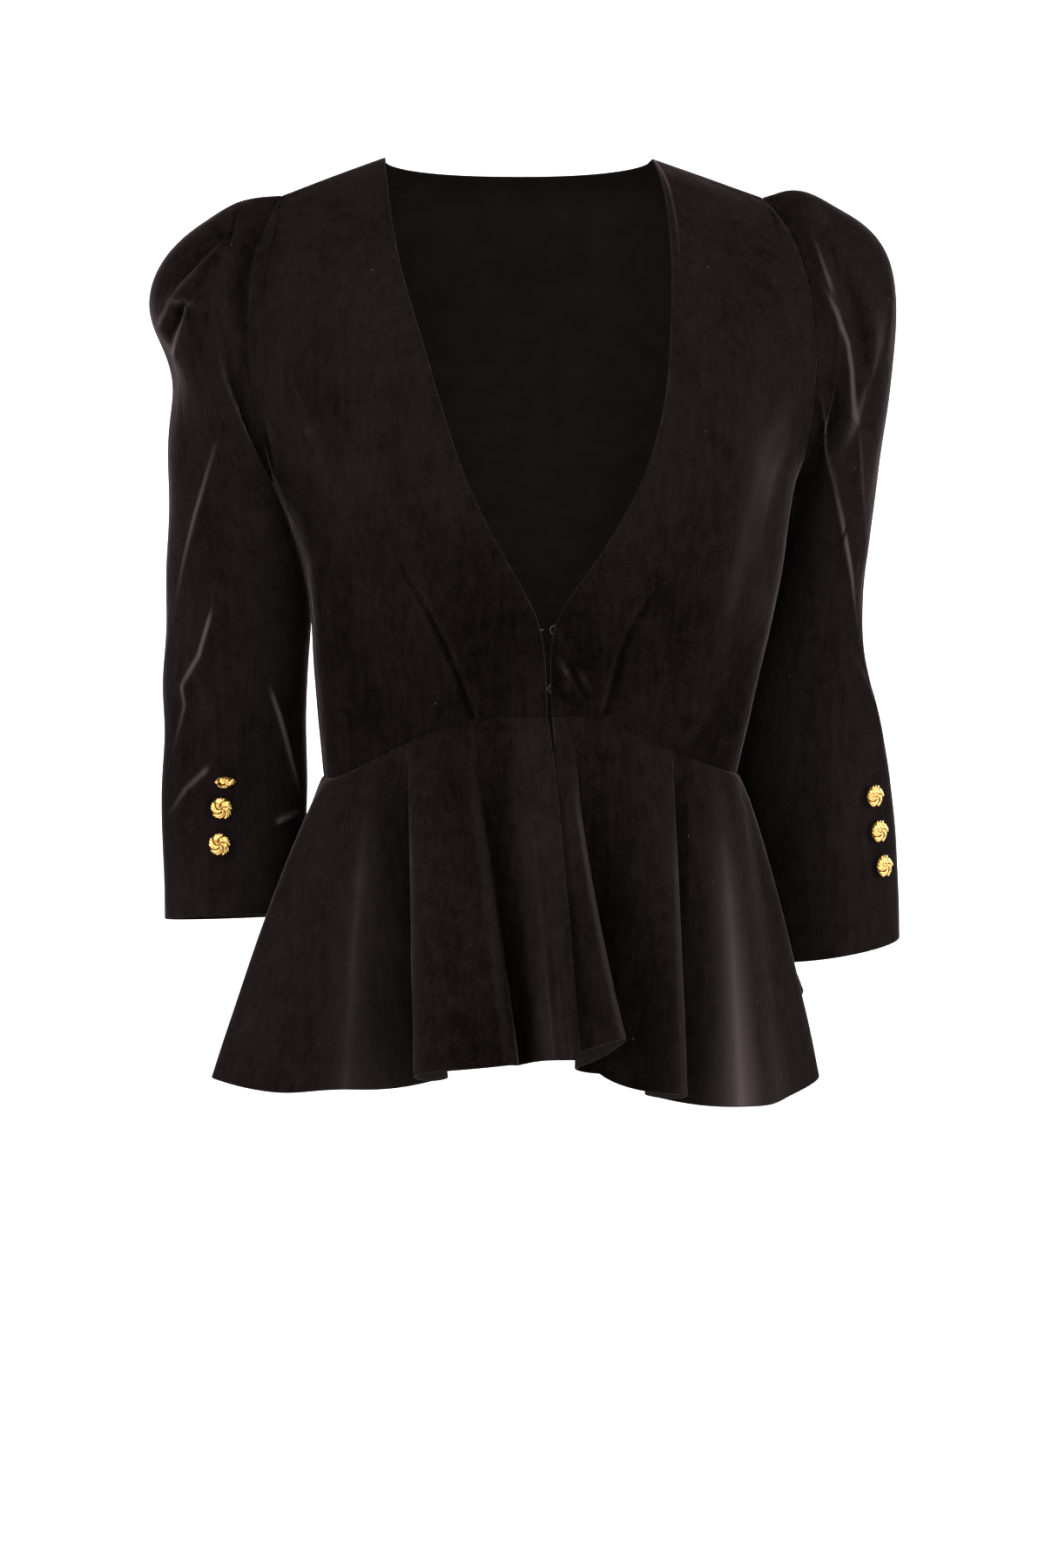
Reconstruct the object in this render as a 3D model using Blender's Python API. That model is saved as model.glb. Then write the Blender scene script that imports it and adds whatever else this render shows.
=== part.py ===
"""Velvet jacket with a deep V neck, puffed three-quarter sleeves and a fluted peplum, as worn.

Metres, +Z up. The front faces -Y and the wearer's right is -X. The origin is the middle of the
shoulder line, level with the neck points, where the wearer's shoulders carry the jacket.
"""

import math
from collections import namedtuple

import bmesh
import bpy
import numpy as np
from mathutils import Matrix, Vector
from mathutils.bvhtree import BVHTree

# Cloth and seams
CLOTH = 0.0018
SEAM_GAP = 0.0003
SIDES = {"right": -1, "left": 1}

# Bodice: one row for each level of the torso, from the waist seam up to the shoulder seam.
# Widths are half widths from the centre line, r on the wearer's right and l on the left.
# flat is how far out the level stays at edge_z before it slopes to side_z. The slope bends most at the
# waist, by WAIST_BEND on each side, and is straight from BEND_TOP_UP upwards.
# edge is the front edge, arm the side seam or, above the underarm, the armhole.
SQUARENESS = 2.3
Level = namedtuple(
    "Level",
    "up edge_z side_z back_z flat side_y front_y back_y half_r half_l edge_r edge_l arm_r arm_l",
)
LEVEL_ROWS = (
    (0.0, -0.371, -0.42, -0.424, 0.04, 0.0, -0.108, 0.086, 0.138, 0.146, 0.0014, 0.0014, 0.138, 0.146),
    (0.16, -0.313, -0.35, -0.352, 0.02, 0.0, -0.11, 0.092, 0.144, 0.162, 0.006, 0.0016, 0.144, 0.162),
    (0.33, -0.262, -0.285, -0.286, 0.04, 0.002, -0.123, 0.1, 0.149, 0.177, 0.034, 0.033, 0.149, 0.177),
    (0.5, -0.21, -0.222, -0.224, 0.06, 0.004, -0.131, 0.107, 0.172, 0.186, 0.06, 0.061, 0.172, 0.186),
    (0.63, -0.165, -0.17, -0.17, 0.074, 0.005, -0.126, 0.111, 0.209, 0.207, 0.074, 0.074, 0.19, 0.188),
    (0.76, -0.12, -0.122, -0.118, 0.084, 0.008, -0.111, 0.109, 0.224, 0.22, 0.085, 0.081, 0.196, 0.189),
    (0.87, -0.062, -0.074, -0.06, 0.094, 0.012, -0.076, 0.094, 0.216, 0.212, 0.097, 0.088, 0.19, 0.186),
    (0.95, -0.018, -0.042, -0.017, 0.095, 0.018, -0.03, 0.064, 0.192, 0.196, 0.097, 0.091, 0.174, 0.178),
    (1.0, 0.0, -0.026, 0.0, 0.093, 0.02, 0.02, 0.02, 0.182, 0.188, 0.093, 0.092, 0.163, 0.169),
)
LEVELS = [Level(*row) for row in LEVEL_ROWS]
WAIST_BEND = {"right": 1.6, "left": 0.78}
BEND_TOP_UP = 0.33
UNDERARM_UP = 0.50
BACK_ARM_SCOOP = 0.05
NECK_DROP = 0.035
FRONT_SPAN = 0.17
CORE_WIDTH = 0.7
CORE_TOP = -0.12

# Waist darts of the fronts: the line that each is sewn along, and how deep its crease is.
Dart = namedtuple("Dart", "waist_across top_across top_up half_width depth")
DARTS = {
    "right": Dart(0.205, 0.345, 0.335, 0.004, 0.0016),
    "left": Dart(0.137, 0.190, 0.258, 0.004, 0.0016),
}

# Sleeves: one row for each ring, from the head of the puff to the cuff. inner is the point next to
# the body and outer the point furthest from it, both measured out from the centre line; belly is how
# much further out than midway the sleeve's front and back lie.
Ring = namedtuple("Ring", "along inner_x inner_z outer_x outer_z belly mid_y half_depth")
SLEEVES = {
    "right": (
        Ring(0.10, 0.1725, -0.232, 0.203, -0.037, 0.020, 0.010, 0.076),
        Ring(0.22, 0.1640, -0.242, 0.240, -0.065, 0.010, 0.016, 0.086),
        Ring(0.32, 0.1582, -0.254, 0.253, -0.107, 0.006, 0.022, 0.081),
        Ring(0.42, 0.1520, -0.270, 0.235, -0.143, 0.010, 0.030, 0.075),
        Ring(0.55, 0.1442, -0.305, 0.240, -0.215, 0.003, 0.040, 0.065),
        Ring(0.75, 0.1455, -0.378, 0.241, -0.360, 0.000, 0.050, 0.053),
        Ring(0.88, 0.1460, -0.443, 0.240, -0.446, 0.000, 0.051, 0.049),
        Ring(1.00, 0.1520, -0.517, 0.239, -0.516, 0.000, 0.048, 0.046),
    ),
    "left": (
        Ring(0.10, 0.1865, -0.232, 0.205, -0.029, 0.012, 0.010, 0.076),
        Ring(0.22, 0.1845, -0.242, 0.242, -0.055, 0.010, 0.012, 0.086),
        Ring(0.32, 0.1828, -0.254, 0.253, -0.087, 0.005, 0.016, 0.083),
        Ring(0.42, 0.1800, -0.270, 0.251, -0.140, 0.004, 0.024, 0.075),
        Ring(0.55, 0.1725, -0.305, 0.241, -0.248, 0.002, 0.036, 0.065),
        Ring(0.75, 0.1560, -0.378, 0.250, -0.348, 0.000, 0.050, 0.053),
        Ring(0.88, 0.1610, -0.452, 0.271, -0.442, 0.000, 0.051, 0.049),
        Ring(1.00, 0.1760, -0.560, 0.277, -0.545, 0.000, 0.048, 0.046),
    ),
}

# The sleeve's two long seams, as turns round the sleeve at the armhole and at the cuff: 0 is under
# the arm, a quarter is the front, a half is the outside.
Seam = namedtuple("Seam", "at_armhole at_cuff")
VENT_SEAMS = {"right": Seam(0.19, 0.255), "left": Seam(0.165, 0.320)}
HIND_SEAM = Seam(0.84, 0.80)

# Largest folds of the bodice and sleeves, drawn on the front view from FOLD_AZIMUTH and
# FOLD_ELEVATION degrees: each runs through points given as across and down from the origin in that
# view. height is out of the cloth for a ridge and negative for a trough.
FOLD_AZIMUTH = -9.0
FOLD_ELEVATION = 6.0
Fold = namedtuple("Fold", "piece half_width height points")
FOLDS = (
    Fold("right_sleeve", 0.014, -0.010, ((-0.181, 0.040), (-0.202, 0.057), (-0.219, 0.078), (-0.240, 0.100))),
    Fold("right_sleeve", 0.010, 0.006, ((-0.194, 0.054), (-0.207, 0.070), (-0.223, 0.092), (-0.245, 0.116))),
    Fold("right_sleeve", 0.009, -0.006, ((-0.214, 0.112), (-0.226, 0.125), (-0.236, 0.140))),
    Fold("right_sleeve", 0.010, 0.005, ((-0.208, 0.210), (-0.221, 0.258), (-0.236, 0.307))),
    Fold("right_sleeve", 0.010, 0.004, ((-0.213, 0.320), (-0.231, 0.360), (-0.239, 0.398))),
    Fold("left_sleeve", 0.011, -0.008, ((0.201, 0.056), (0.214, 0.079), (0.224, 0.107), (0.236, 0.177))),
    Fold("left_sleeve", 0.010, 0.006, ((0.198, 0.081), (0.209, 0.107), (0.217, 0.130), (0.224, 0.177))),
    Fold("left_sleeve", 0.010, 0.005, ((0.199, 0.166), (0.208, 0.189), (0.229, 0.260), (0.236, 0.350))),
    Fold("left_front", 0.011, 0.004, ((0.180, 0.163), (0.160, 0.202), (0.143, 0.264), (0.120, 0.366))),
    Fold("right_front", 0.011, 0.003, ((-0.140, 0.193), (-0.121, 0.237))),
)

# Peplum: where its hem lies, a row for each crest and hollow of its flutes. place runs round the
# waist seam: 0 right front edge, 1 right side seam, 2 left side seam, 3 left front edge.
Flute = namedtuple("Flute", "place x y")
HEM = (
    Flute(0.00, 0.012, -0.166),
    Flute(0.07, -0.012, -0.172),
    Flute(0.16, -0.024, -0.151),
    Flute(0.29, -0.040, -0.168),
    Flute(0.41, -0.099, -0.165),
    Flute(0.49, -0.070, -0.108),
    Flute(0.63, -0.142, -0.135),
    Flute(0.77, -0.182, -0.105),
    Flute(0.90, -0.221, -0.050),
    Flute(1.00, -0.186, -0.004),
    Flute(1.08, -0.143, 0.044),
    Flute(1.17, -0.186, 0.122),
    Flute(1.25, -0.116, 0.110),
    Flute(1.34, -0.104, 0.166),
    Flute(1.42, -0.048, 0.126),
    Flute(1.50, -0.004, 0.180),
    Flute(1.58, 0.044, 0.124),
    Flute(1.67, 0.098, 0.164),
    Flute(1.76, 0.116, 0.104),
    Flute(1.84, 0.226, 0.132),
    Flute(1.93, 0.156, 0.050),
    Flute(2.00, 0.180, 0.004),
    Flute(2.08, 0.203, -0.024),
    Flute(2.20, 0.174, -0.066),
    Flute(2.40, 0.130, -0.120),
    Flute(2.56, 0.068, -0.098),
    Flute(2.65, 0.085, -0.151),
    Flute(2.87, 0.019, -0.118),
    Flute(2.94, 0.041, -0.168),
    Flute(3.00, 0.004, -0.148),
)
PANELS = {"front_right": (0, 1), "back": (1, 2), "front_left": (2, 3)}
Drop = namedtuple("Drop", "place length")
PEPLUM_DROPS = (
    Drop(0.00, 0.229),
    Drop(0.29, 0.230),
    Drop(0.41, 0.226),
    Drop(0.50, 0.224),
    Drop(0.77, 0.220),
    Drop(1.00, 0.216),
    Drop(1.50, 0.222),
    Drop(2.00, 0.217),
    Drop(2.30, 0.228),
    Drop(2.65, 0.233),
    Drop(2.87, 0.234),
    Drop(2.94, 0.218),
    Drop(3.00, 0.224),
)
FLARE = 0.050
FLARE_RISE = 0.75
FLUTE_RISE = 0.85

# Buttons: gilt domes of twisted strands, three up each vent.
BUTTON_RADIUS = 0.0074
BUTTON_HEIGHT = 0.0048
RIM_HEIGHT = 0.0008
BUTTON_STRANDS = 6
STRAND_RELIEF = 0.0006
STRAND_TWIST = 1.1
SHANK_RADIUS = 0.0018
SHANK_LENGTH = 0.0026
BUTTON_SEGMENTS = 24
Button = namedtuple("Button", "turn along droop")
BUTTONS = {
    "right": (Button(0.282, 0.838, 62.0), Button(0.291, 0.874, 8.0), Button(0.294, 0.916, 0.0)),
    "left": (Button(0.347, 0.875, 6.0), Button(0.350, 0.906, 4.0), Button(0.358, 0.935, 0.0)),
}

# Hooks and eyes behind the front edges: level up the edge at which each pair is sewn.
HOOK_LEVELS = {"upper": 0.158, "lower": 0.050}
WIRE_RADIUS = 0.0006
HOOK_REACH = 0.0050
HOOK_LOOP = 0.0020

# Mesh density: points across by points along each piece.
BODICE_ROWS = 17
FRONT_COLUMNS = 15
BACK_COLUMNS = 23
SLEEVE_ROWS = 21
UPPER_SLEEVE_COLUMNS = 18
UNDER_SLEEVE_COLUMNS = 12
PEPLUM_ROWS = 8
FRONT_PEPLUM_COLUMNS = 41
BACK_PEPLUM_COLUMNS = 55


def smooth(keys, rows, at):
    """Rows read at the places at, on a smooth curve through them; keys say where each row is."""
    keys = np.asarray(keys, float)
    rows = np.asarray(rows, float)
    at = np.asarray(at, float)
    steps = np.diff(keys)
    slopes = np.diff(rows, axis=0) / steps[:, None]
    before, after = steps[:-1, None], steps[1:, None]
    inner = (slopes[:-1] * after + slopes[1:] * before) / (before + after)
    tangents = np.vstack([slopes[:1], inner, slopes[-1:]])
    i = np.clip(np.searchsorted(keys, at, side="right") - 1, 0, len(steps) - 1)
    step = steps[i][:, None]
    u = (at - keys[i])[:, None] / step
    return (
        rows[i] * (1 + 2 * u) * (1 - u) ** 2
        + tangents[i] * step * u * (1 - u) ** 2
        + rows[i + 1] * u**2 * (3 - 2 * u)
        + tangents[i + 1] * step * u**2 * (u - 1)
    )


def levels_at(up):
    """The bodice levels read at heights up, as one Level of arrays."""
    rows = smooth([level.up for level in LEVELS], LEVELS, up)
    return Level(*rows.T)


def angle_out(x, half):
    """How far round the squarish section x lies: 0 at the centre line, a right angle at the side."""
    return np.arcsin(np.clip(x / half, 0, 1) ** (SQUARENESS / 2))


def section_point(angle, half, depth):
    """x out and y forward or back of the side, on a squarish quarter section."""
    power = 2 / SQUARENESS
    return half * np.sin(angle) ** power, depth * np.clip(np.cos(angle), 0, 1) ** power


def side_widths(level, side):
    """half, edge and arm columns of one side."""
    if side == "right":
        return level.half_r, level.edge_r, level.arm_r
    return level.half_l, level.edge_l, level.arm_l


def front_point(side, across, up):
    """Points of a front: across is 0 at the front edge and 1 at the side seam or armhole."""
    level = levels_at(up)
    half, edge, arm = side_widths(level, side)
    start, end = angle_out(edge, half), angle_out(arm, half)
    x, y = section_point(start + across * (end - start), half, level.front_y - level.side_y)
    slope = np.clip((x - level.flat) / (arm - level.flat), 0, 1)
    bend = 1 + (WAIST_BEND[side] - 1) * np.clip(1 - up / BEND_TOP_UP, 0, 1)
    z = level.edge_z + (level.side_z - level.edge_z) * slope**bend
    return np.stack([SIDES[side] * x, level.side_y + y, z], axis=-1)


def back_point(side, across, up):
    """Points of one half of the back: across is 0 at the centre and 1 at the side seam or armhole."""
    level = levels_at(up)
    half, _, arm = side_widths(level, side)
    above = np.clip((up - UNDERARM_UP) / (1 - UNDERARM_UP), 0, 1)
    arm = arm * (1 - BACK_ARM_SCOOP * np.sin(math.pi * above))
    x, y = section_point(across * angle_out(arm, half), half, level.back_y - level.side_y)
    slope = np.clip((x - level.flat) / (arm - level.flat), 0, 1)
    z = level.back_z + (level.side_z - level.back_z) * slope
    return np.stack([SIDES[side] * x, level.side_y + y, z], axis=-1)


def by_length(points, shares):
    """Points at the given shares of the length of a polyline."""
    along = np.concatenate([[0], np.cumsum(np.linalg.norm(np.diff(points, axis=0), axis=1))])
    at = np.asarray(shares) * along[-1]
    return np.stack([np.interp(at, along, points[:, k]) for k in range(3)], axis=-1)


def front_across(side, up):
    """Columns of a front at one height: one runs up the dart's crease, with one close on each side."""
    dart = DARTS[side]
    share = min(1.0, up / dart.top_up)
    crease = dart.waist_across + (dart.top_across - dart.waist_across) * share
    beside = dart.half_width / FRONT_SPAN
    inner = np.linspace(0, crease - beside, FRONT_COLUMNS // 3)
    outer = np.linspace(crease + beside, 1, FRONT_COLUMNS - FRONT_COLUMNS // 3 - 1)
    return np.concatenate([inner, [crease], outer])


def front_row(side, up):
    """Points of one level of a front, with its folds and the dart's crease pressed in."""
    dart = DARTS[side]
    across = front_across(side, up)
    row = front_point(side, across, np.full(FRONT_COLUMNS, up))
    out = out_of_bodice(row)
    free = np.clip((1 - across) / 0.08, 0, 1) * min(1.0, up / 0.08)
    row += out * (fold_lift(f"{side}_front", row, out) * free)[:, None]
    row[FRONT_COLUMNS // 3, 1] += dart.depth * max(0.0, 1 - up / dart.top_up)
    return row


def back_across(side):
    """Columns of half the back, with one that ends at the neck point."""
    half, neck, arm = (value[0] for value in side_widths(levels_at(np.array([1.0])), side))
    neck_across = angle_out(neck, half) / angle_out(arm, half)
    half_columns = BACK_COLUMNS // 2
    neck_columns = round(half_columns * neck_across)
    inner = np.linspace(0, neck_across, neck_columns + 1)
    outer = np.linspace(neck_across, 1, half_columns - neck_columns + 1)[1:]
    return np.concatenate([inner, outer]), neck_across


def back_row(share):
    """Points of one level of the back, right to left; the upper levels dip to the neckline."""
    halves = {}
    for side in SIDES:
        across, neck_across = back_across(side)
        scoop = NECK_DROP * np.sqrt(1 - np.clip(across / neck_across, 0, 1) ** 2)
        halves[side] = back_point(side, across, share * (1 - scoop))
    return np.concatenate([halves["right"][::-1], halves["left"][1:]])


def armhole(side, turn):
    """The armhole's seam: turn 0 is under the arm, a half is the shoulder tip, reached up the front."""
    up = np.linspace(0, 1, BODICE_ROWS)
    up = up[up >= UNDERARM_UP]
    front = front_point(side, np.ones_like(up), up)
    back = back_point(side, np.ones_like(up), up)
    rising = by_length(front, np.clip(turn * 2, 0, 1))
    falling = by_length(back, np.clip(2 - turn * 2, 0, 1))
    return np.where((turn <= 0.5)[:, None], rising, falling)


def sleeve_base(side, turn, along):
    """Points of a sleeve before its folds, turn round it and along it from the armhole to the cuff."""
    rings = SLEEVES[side]
    angle = 2 * math.pi * turn
    controls = [armhole(side, turn)]
    for ring in rings:
        reach = (1 - np.cos(angle)) / 2
        x = ring.inner_x + (ring.outer_x - ring.inner_x) * reach + ring.belly * np.sin(angle) ** 2
        y = ring.mid_y - ring.half_depth * np.sin(angle)
        z = ring.inner_z + (ring.outer_z - ring.inner_z) * reach
        controls.append(np.stack([SIDES[side] * x, y, z], axis=-1))
    keys = [0.0] + [ring.along for ring in rings]
    lines = smooth(keys, np.reshape(controls, (len(keys), -1)), np.atleast_1d(along))
    return lines.reshape(-1, len(turn), 3)


def view_axes():
    """Right, up and towards the viewer in the view that the folds are drawn on."""
    turn, rise = math.radians(FOLD_AZIMUTH), math.radians(FOLD_ELEVATION)
    right = np.array([math.cos(turn), math.sin(turn), 0.0])
    near = np.array([math.sin(turn) * math.cos(rise), -math.cos(turn) * math.cos(rise), math.sin(rise)])
    return right, np.cross(near, right), near


def fold_lift(piece, points, normals):
    """How far the folds lift each point of a piece; only the cloth that faces the view is folded."""
    right, up, near = view_axes()
    place = np.stack([points @ right, -(points @ up)], axis=-1)
    total = np.zeros(points.shape[:-1])
    for fold in FOLDS:
        if fold.piece != piece:
            continue
        line = np.array(fold.points)
        away = np.full(total.shape, np.inf)
        share = np.zeros(total.shape)
        for k, (start, end) in enumerate(zip(line, line[1:])):
            run = end - start
            part = np.clip(((place - start) @ run) / (run @ run), 0, 1)
            far = np.linalg.norm(place - start - part[..., None] * run, axis=-1)
            nearer = far < away
            away = np.where(nearer, far, away)
            share = np.where(nearer, (k + part) / (len(line) - 1), share)
        fade = np.sin(math.pi * (0.12 + 0.76 * share))
        total += fold.height * np.exp(-((away / fold.half_width) ** 2)) * fade
    return total * np.clip((normals @ near) / 0.3, 0, 1)


def sleeve_grid(side, turn, along):
    """Points of a folded sleeve and the way out of the cloth; turn has a row for each place along."""
    nudge = 1e-3
    points = np.empty(turn.shape + (3,))
    normals = np.empty_like(points)
    for j, place in enumerate(along):
        row = turn[j] % 1.0
        here = sleeve_base(side, row, place)[0]
        round_it = sleeve_base(side, (row + nudge) % 1.0, place)[0] - here
        step = nudge if place + nudge <= 1 else -nudge
        down = (sleeve_base(side, row, place + step)[0] - here) * np.sign(step)
        normal = np.cross(down, round_it) * SIDES[side]
        normals[j] = normal / np.linalg.norm(normal, axis=-1, keepdims=True)
        lift = fold_lift(f"{side}_sleeve", here, normals[j]) * min(1.0, place / 0.08)
        points[j] = here + normals[j] * lift[:, None]
    return points, normals


def sleeve_seam(seam, along):
    """Turn of a long seam at each place along the sleeve."""
    return seam.at_armhole + (seam.at_cuff - seam.at_armhole) * along


def waist_point(place):
    """Points of the waist seam, on the lower edge of the bodice."""
    right_half, left_half = (back_across(side)[0] for side in SIDES)
    places = np.concatenate(
        [
            front_across("right", 0.0),
            1.5 - right_half[::-1][1:] / 2,
            1.5 + left_half[1:] / 2,
            3 - front_across("left", 0.0)[::-1][1:],
        ]
    )
    row = np.concatenate([front_row("right", 0.0), back_row(0.0)[1:], front_row("left", 0.0)[::-1][1:]])
    return np.stack([np.interp(place, places, row[:, k]) for k in range(3)], axis=-1)


def hem_point(place):
    """Plan position of the hem."""
    return smooth([row.place for row in HEM], [(row.x, row.y) for row in HEM], place)


def peplum_point(place, down):
    """Points of the peplum: down is 0 at the waist seam and 1 at the hem."""
    top = waist_point(place)
    hem = hem_point(place)
    run = waist_point(np.clip(place + 0.05, 0, 3)) - waist_point(np.clip(place - 0.05, 0, 3))
    outward = np.stack([run[:, 1], -run[:, 0]], axis=-1)
    outward /= -np.linalg.norm(outward, axis=1, keepdims=True)
    flared = top[:, :2] + outward * FLARE
    lengths = [(drop.length,) for drop in PEPLUM_DROPS]
    length = smooth([drop.place for drop in PEPLUM_DROPS], lengths, place)[:, 0]
    fall = np.sqrt(length**2 - ((hem - top[:, :2]) ** 2).sum(axis=1))
    plan = top[:, :2] + (flared - top[:, :2]) * down**FLARE_RISE + (hem - flared) * down**FLUTE_RISE
    return np.concatenate([plan, (top[:, 2] - fall * down)[:, None]], axis=1)


def peplum_grid(place, down):
    """Points of the peplum and the way out of the cloth."""
    nudge = 2e-3
    points = np.array([peplum_point(place, share) for share in down])
    ahead = np.array([peplum_point(np.clip(place + nudge, 0, 3), share) for share in down])
    behind = np.array([peplum_point(np.clip(place - nudge, 0, 3), share) for share in down])
    lower = np.array([peplum_point(place, share + nudge) for share in down])
    normals = np.cross(ahead - behind, lower - points)
    return points, normals / np.linalg.norm(normals, axis=-1, keepdims=True)


def pulled_in(grid, out, edges):
    """The grid with the named borders moved half a seam gap towards its middle, square to each border."""
    grid = grid.copy()
    borders = {"first": (0, 1, 0), "last": (-1, -2, 0), "start": (0, 1, 1), "end": (-1, -2, 1)}
    for name in edges:
        at, beside, axis = borders[name]
        rows = grid if axis == 0 else grid.swapaxes(0, 1)
        ways_out = out if axis == 0 else out.swapaxes(0, 1)
        inward = np.cross(ways_out[at], np.gradient(rows[at], axis=0))
        inward *= np.sign((inward * (rows[beside] - rows[at])).sum(axis=-1, keepdims=True))
        rows[at] += inward / np.linalg.norm(inward, axis=-1, keepdims=True) * SEAM_GAP / 2
    return grid


def material(name, colour, roughness, metallic):
    made = bpy.data.materials.new(name)
    made.use_nodes = True
    shader = made.node_tree.nodes["Principled BSDF"]
    shader.inputs["Base Color"].default_value = (*colour, 1)
    shader.inputs["Roughness"].default_value = roughness
    shader.inputs["Metallic"].default_value = metallic
    made.diffuse_color = (*colour, 1)
    return made


def add_object(name, mesh, finish):
    mesh.materials.append(finish)
    made = bpy.data.objects.new(name, mesh)
    bpy.context.scene.collection.objects.link(made)
    made.parent = bpy.data.objects["jacket"]
    return made


def cloth_wall(name, outer, out_of_cloth, finish):
    """A cloth piece: its outer face is the grid outer, its inner face lies one thickness of cloth below."""
    rows, columns = outer.shape[:2]
    inner = outer - out_of_cloth * CLOTH
    count = rows * columns
    faces = []
    for i in range(rows - 1):
        for j in range(columns - 1):
            a = i * columns + j
            b, c, d = a + 1, a + columns + 1, a + columns
            for face in ((a, b, c), (a, c, d)):
                faces += [face, tuple(corner + count for corner in face[::-1])]
    top = list(range(columns))
    left = [i * columns for i in range(rows)]
    bottom = [a + count - columns for a in top]
    right = [a + columns - 1 for a in left]
    for border in (top, bottom, left, right):
        for a, b in zip(border, border[1:]):
            faces += [(a, b, b + count), (a, b + count, a + count)]
    mesh = bpy.data.meshes.new(name)
    mesh.from_pydata(np.concatenate([outer.reshape(-1, 3), inner.reshape(-1, 3)]).tolist(), [], faces)
    shape = bmesh.new()
    shape.from_mesh(mesh)
    bmesh.ops.recalc_face_normals(shape, faces=shape.faces)
    shape.to_mesh(mesh)
    shape.free()
    return add_object(name, mesh, finish)


def out_of_bodice(grid):
    """The way out of the bodice's cloth, away from the middle of the body and, high up, from the chest."""
    height = np.minimum(grid[..., 2], CORE_TOP)
    middle = np.stack([grid[..., 0] * CORE_WIDTH, np.zeros_like(height), height], axis=-1)
    out = grid - middle
    return out / np.linalg.norm(out, axis=-1, keepdims=True)


def make_front(side, velvet):
    grid = np.array([front_row(side, up) for up in np.linspace(0, 1, BODICE_ROWS)])
    out = out_of_bodice(grid)
    return cloth_wall(f"front_{side}", pulled_in(grid, out, ("first", "last", "end")), out, velvet)


def make_back(velvet):
    grid = np.array([back_row(share) for share in np.linspace(0, 1, BODICE_ROWS)])
    out = out_of_bodice(grid)
    return cloth_wall("back", pulled_in(grid, out, ("first", "last", "start", "end")), out, velvet)


def make_sleeve(side, velvet):
    """Upper and under sleeve, parted at the vent seam in front and the hind seam behind."""
    along = np.linspace(0, 1, SLEEVE_ROWS) ** 1.1
    vent = sleeve_seam(VENT_SEAMS[side], along)[:, None]
    hind = sleeve_seam(HIND_SEAM, along)[:, None]
    pieces = (("upper", vent, hind, UPPER_SLEEVE_COLUMNS), ("under", hind, vent + 1, UNDER_SLEEVE_COLUMNS))
    made = {}
    for name, start, end, columns in pieces:
        grid, out = sleeve_grid(side, start + (end - start) * np.linspace(0, 1, columns), along)
        outer = pulled_in(grid, out, ("first", "start", "end"))
        made[name] = cloth_wall(f"{name}_sleeve_{side}", outer, out, velvet)
    return made["upper"]


def make_peplum(panel, velvet):
    start, end = PANELS[panel]
    columns = BACK_PEPLUM_COLUMNS if panel == "back" else FRONT_PEPLUM_COLUMNS
    fine = np.linspace(start, end, 800)
    run = np.concatenate([[0], np.cumsum(np.linalg.norm(np.diff(hem_point(fine), axis=0), axis=1))])
    place = np.interp(np.linspace(0, run[-1], columns), run, fine)
    grid, out = peplum_grid(place, np.linspace(0, 1, PEPLUM_ROWS))
    sewn = {"front_right": ("end",), "back": ("start", "end"), "front_left": ("start",)}
    outer = pulled_in(grid, out, ("first",) + sewn[panel])
    return cloth_wall(f"peplum_{panel}", outer, out, velvet)


def button_mesh(name):
    """A dome of twisted strands on a flat back with a shank, facing +Z, the shank's end at the origin."""
    mesh = bpy.data.meshes.new(name)
    shape = bmesh.new()
    angles = np.arange(BUTTON_SEGMENTS) * 2 * math.pi / BUTTON_SEGMENTS
    rim = SHANK_LENGTH + RIM_HEIGHT
    stem = [(SHANK_RADIUS, 0.0), (SHANK_RADIUS, SHANK_LENGTH)]
    edge = [(0.9 * BUTTON_RADIUS, SHANK_LENGTH), (BUTTON_RADIUS, rim)]
    domes = (0.86, 0.62, 0.32)
    loops = []
    for radius, z in stem + edge:
        loops.append([shape.verts.new((radius * math.cos(a), radius * math.sin(a), z)) for a in angles])
    for share in domes:
        crown = rim + (BUTTON_HEIGHT - RIM_HEIGHT) * math.sqrt(1 - share**2)
        radius = share * BUTTON_RADIUS
        ring = []
        for a in angles:
            strand = math.cos(BUTTON_STRANDS * (a + STRAND_TWIST * share))
            lift = STRAND_RELIEF * strand * math.sin(math.pi * share)
            ring.append((radius * math.cos(a), radius * math.sin(a), crown + lift))
        loops.append([shape.verts.new(point) for point in ring])
    for lower, upper in zip(loops, loops[1:]):
        for i in range(BUTTON_SEGMENTS):
            k = (i + 1) % BUTTON_SEGMENTS
            shape.faces.new((lower[i], lower[k], upper[k], upper[i]))
    shape.faces.new(loops[0][::-1])
    shape.faces.new(loops[-1])
    shape.to_mesh(mesh)
    shape.free()
    return mesh


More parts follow.
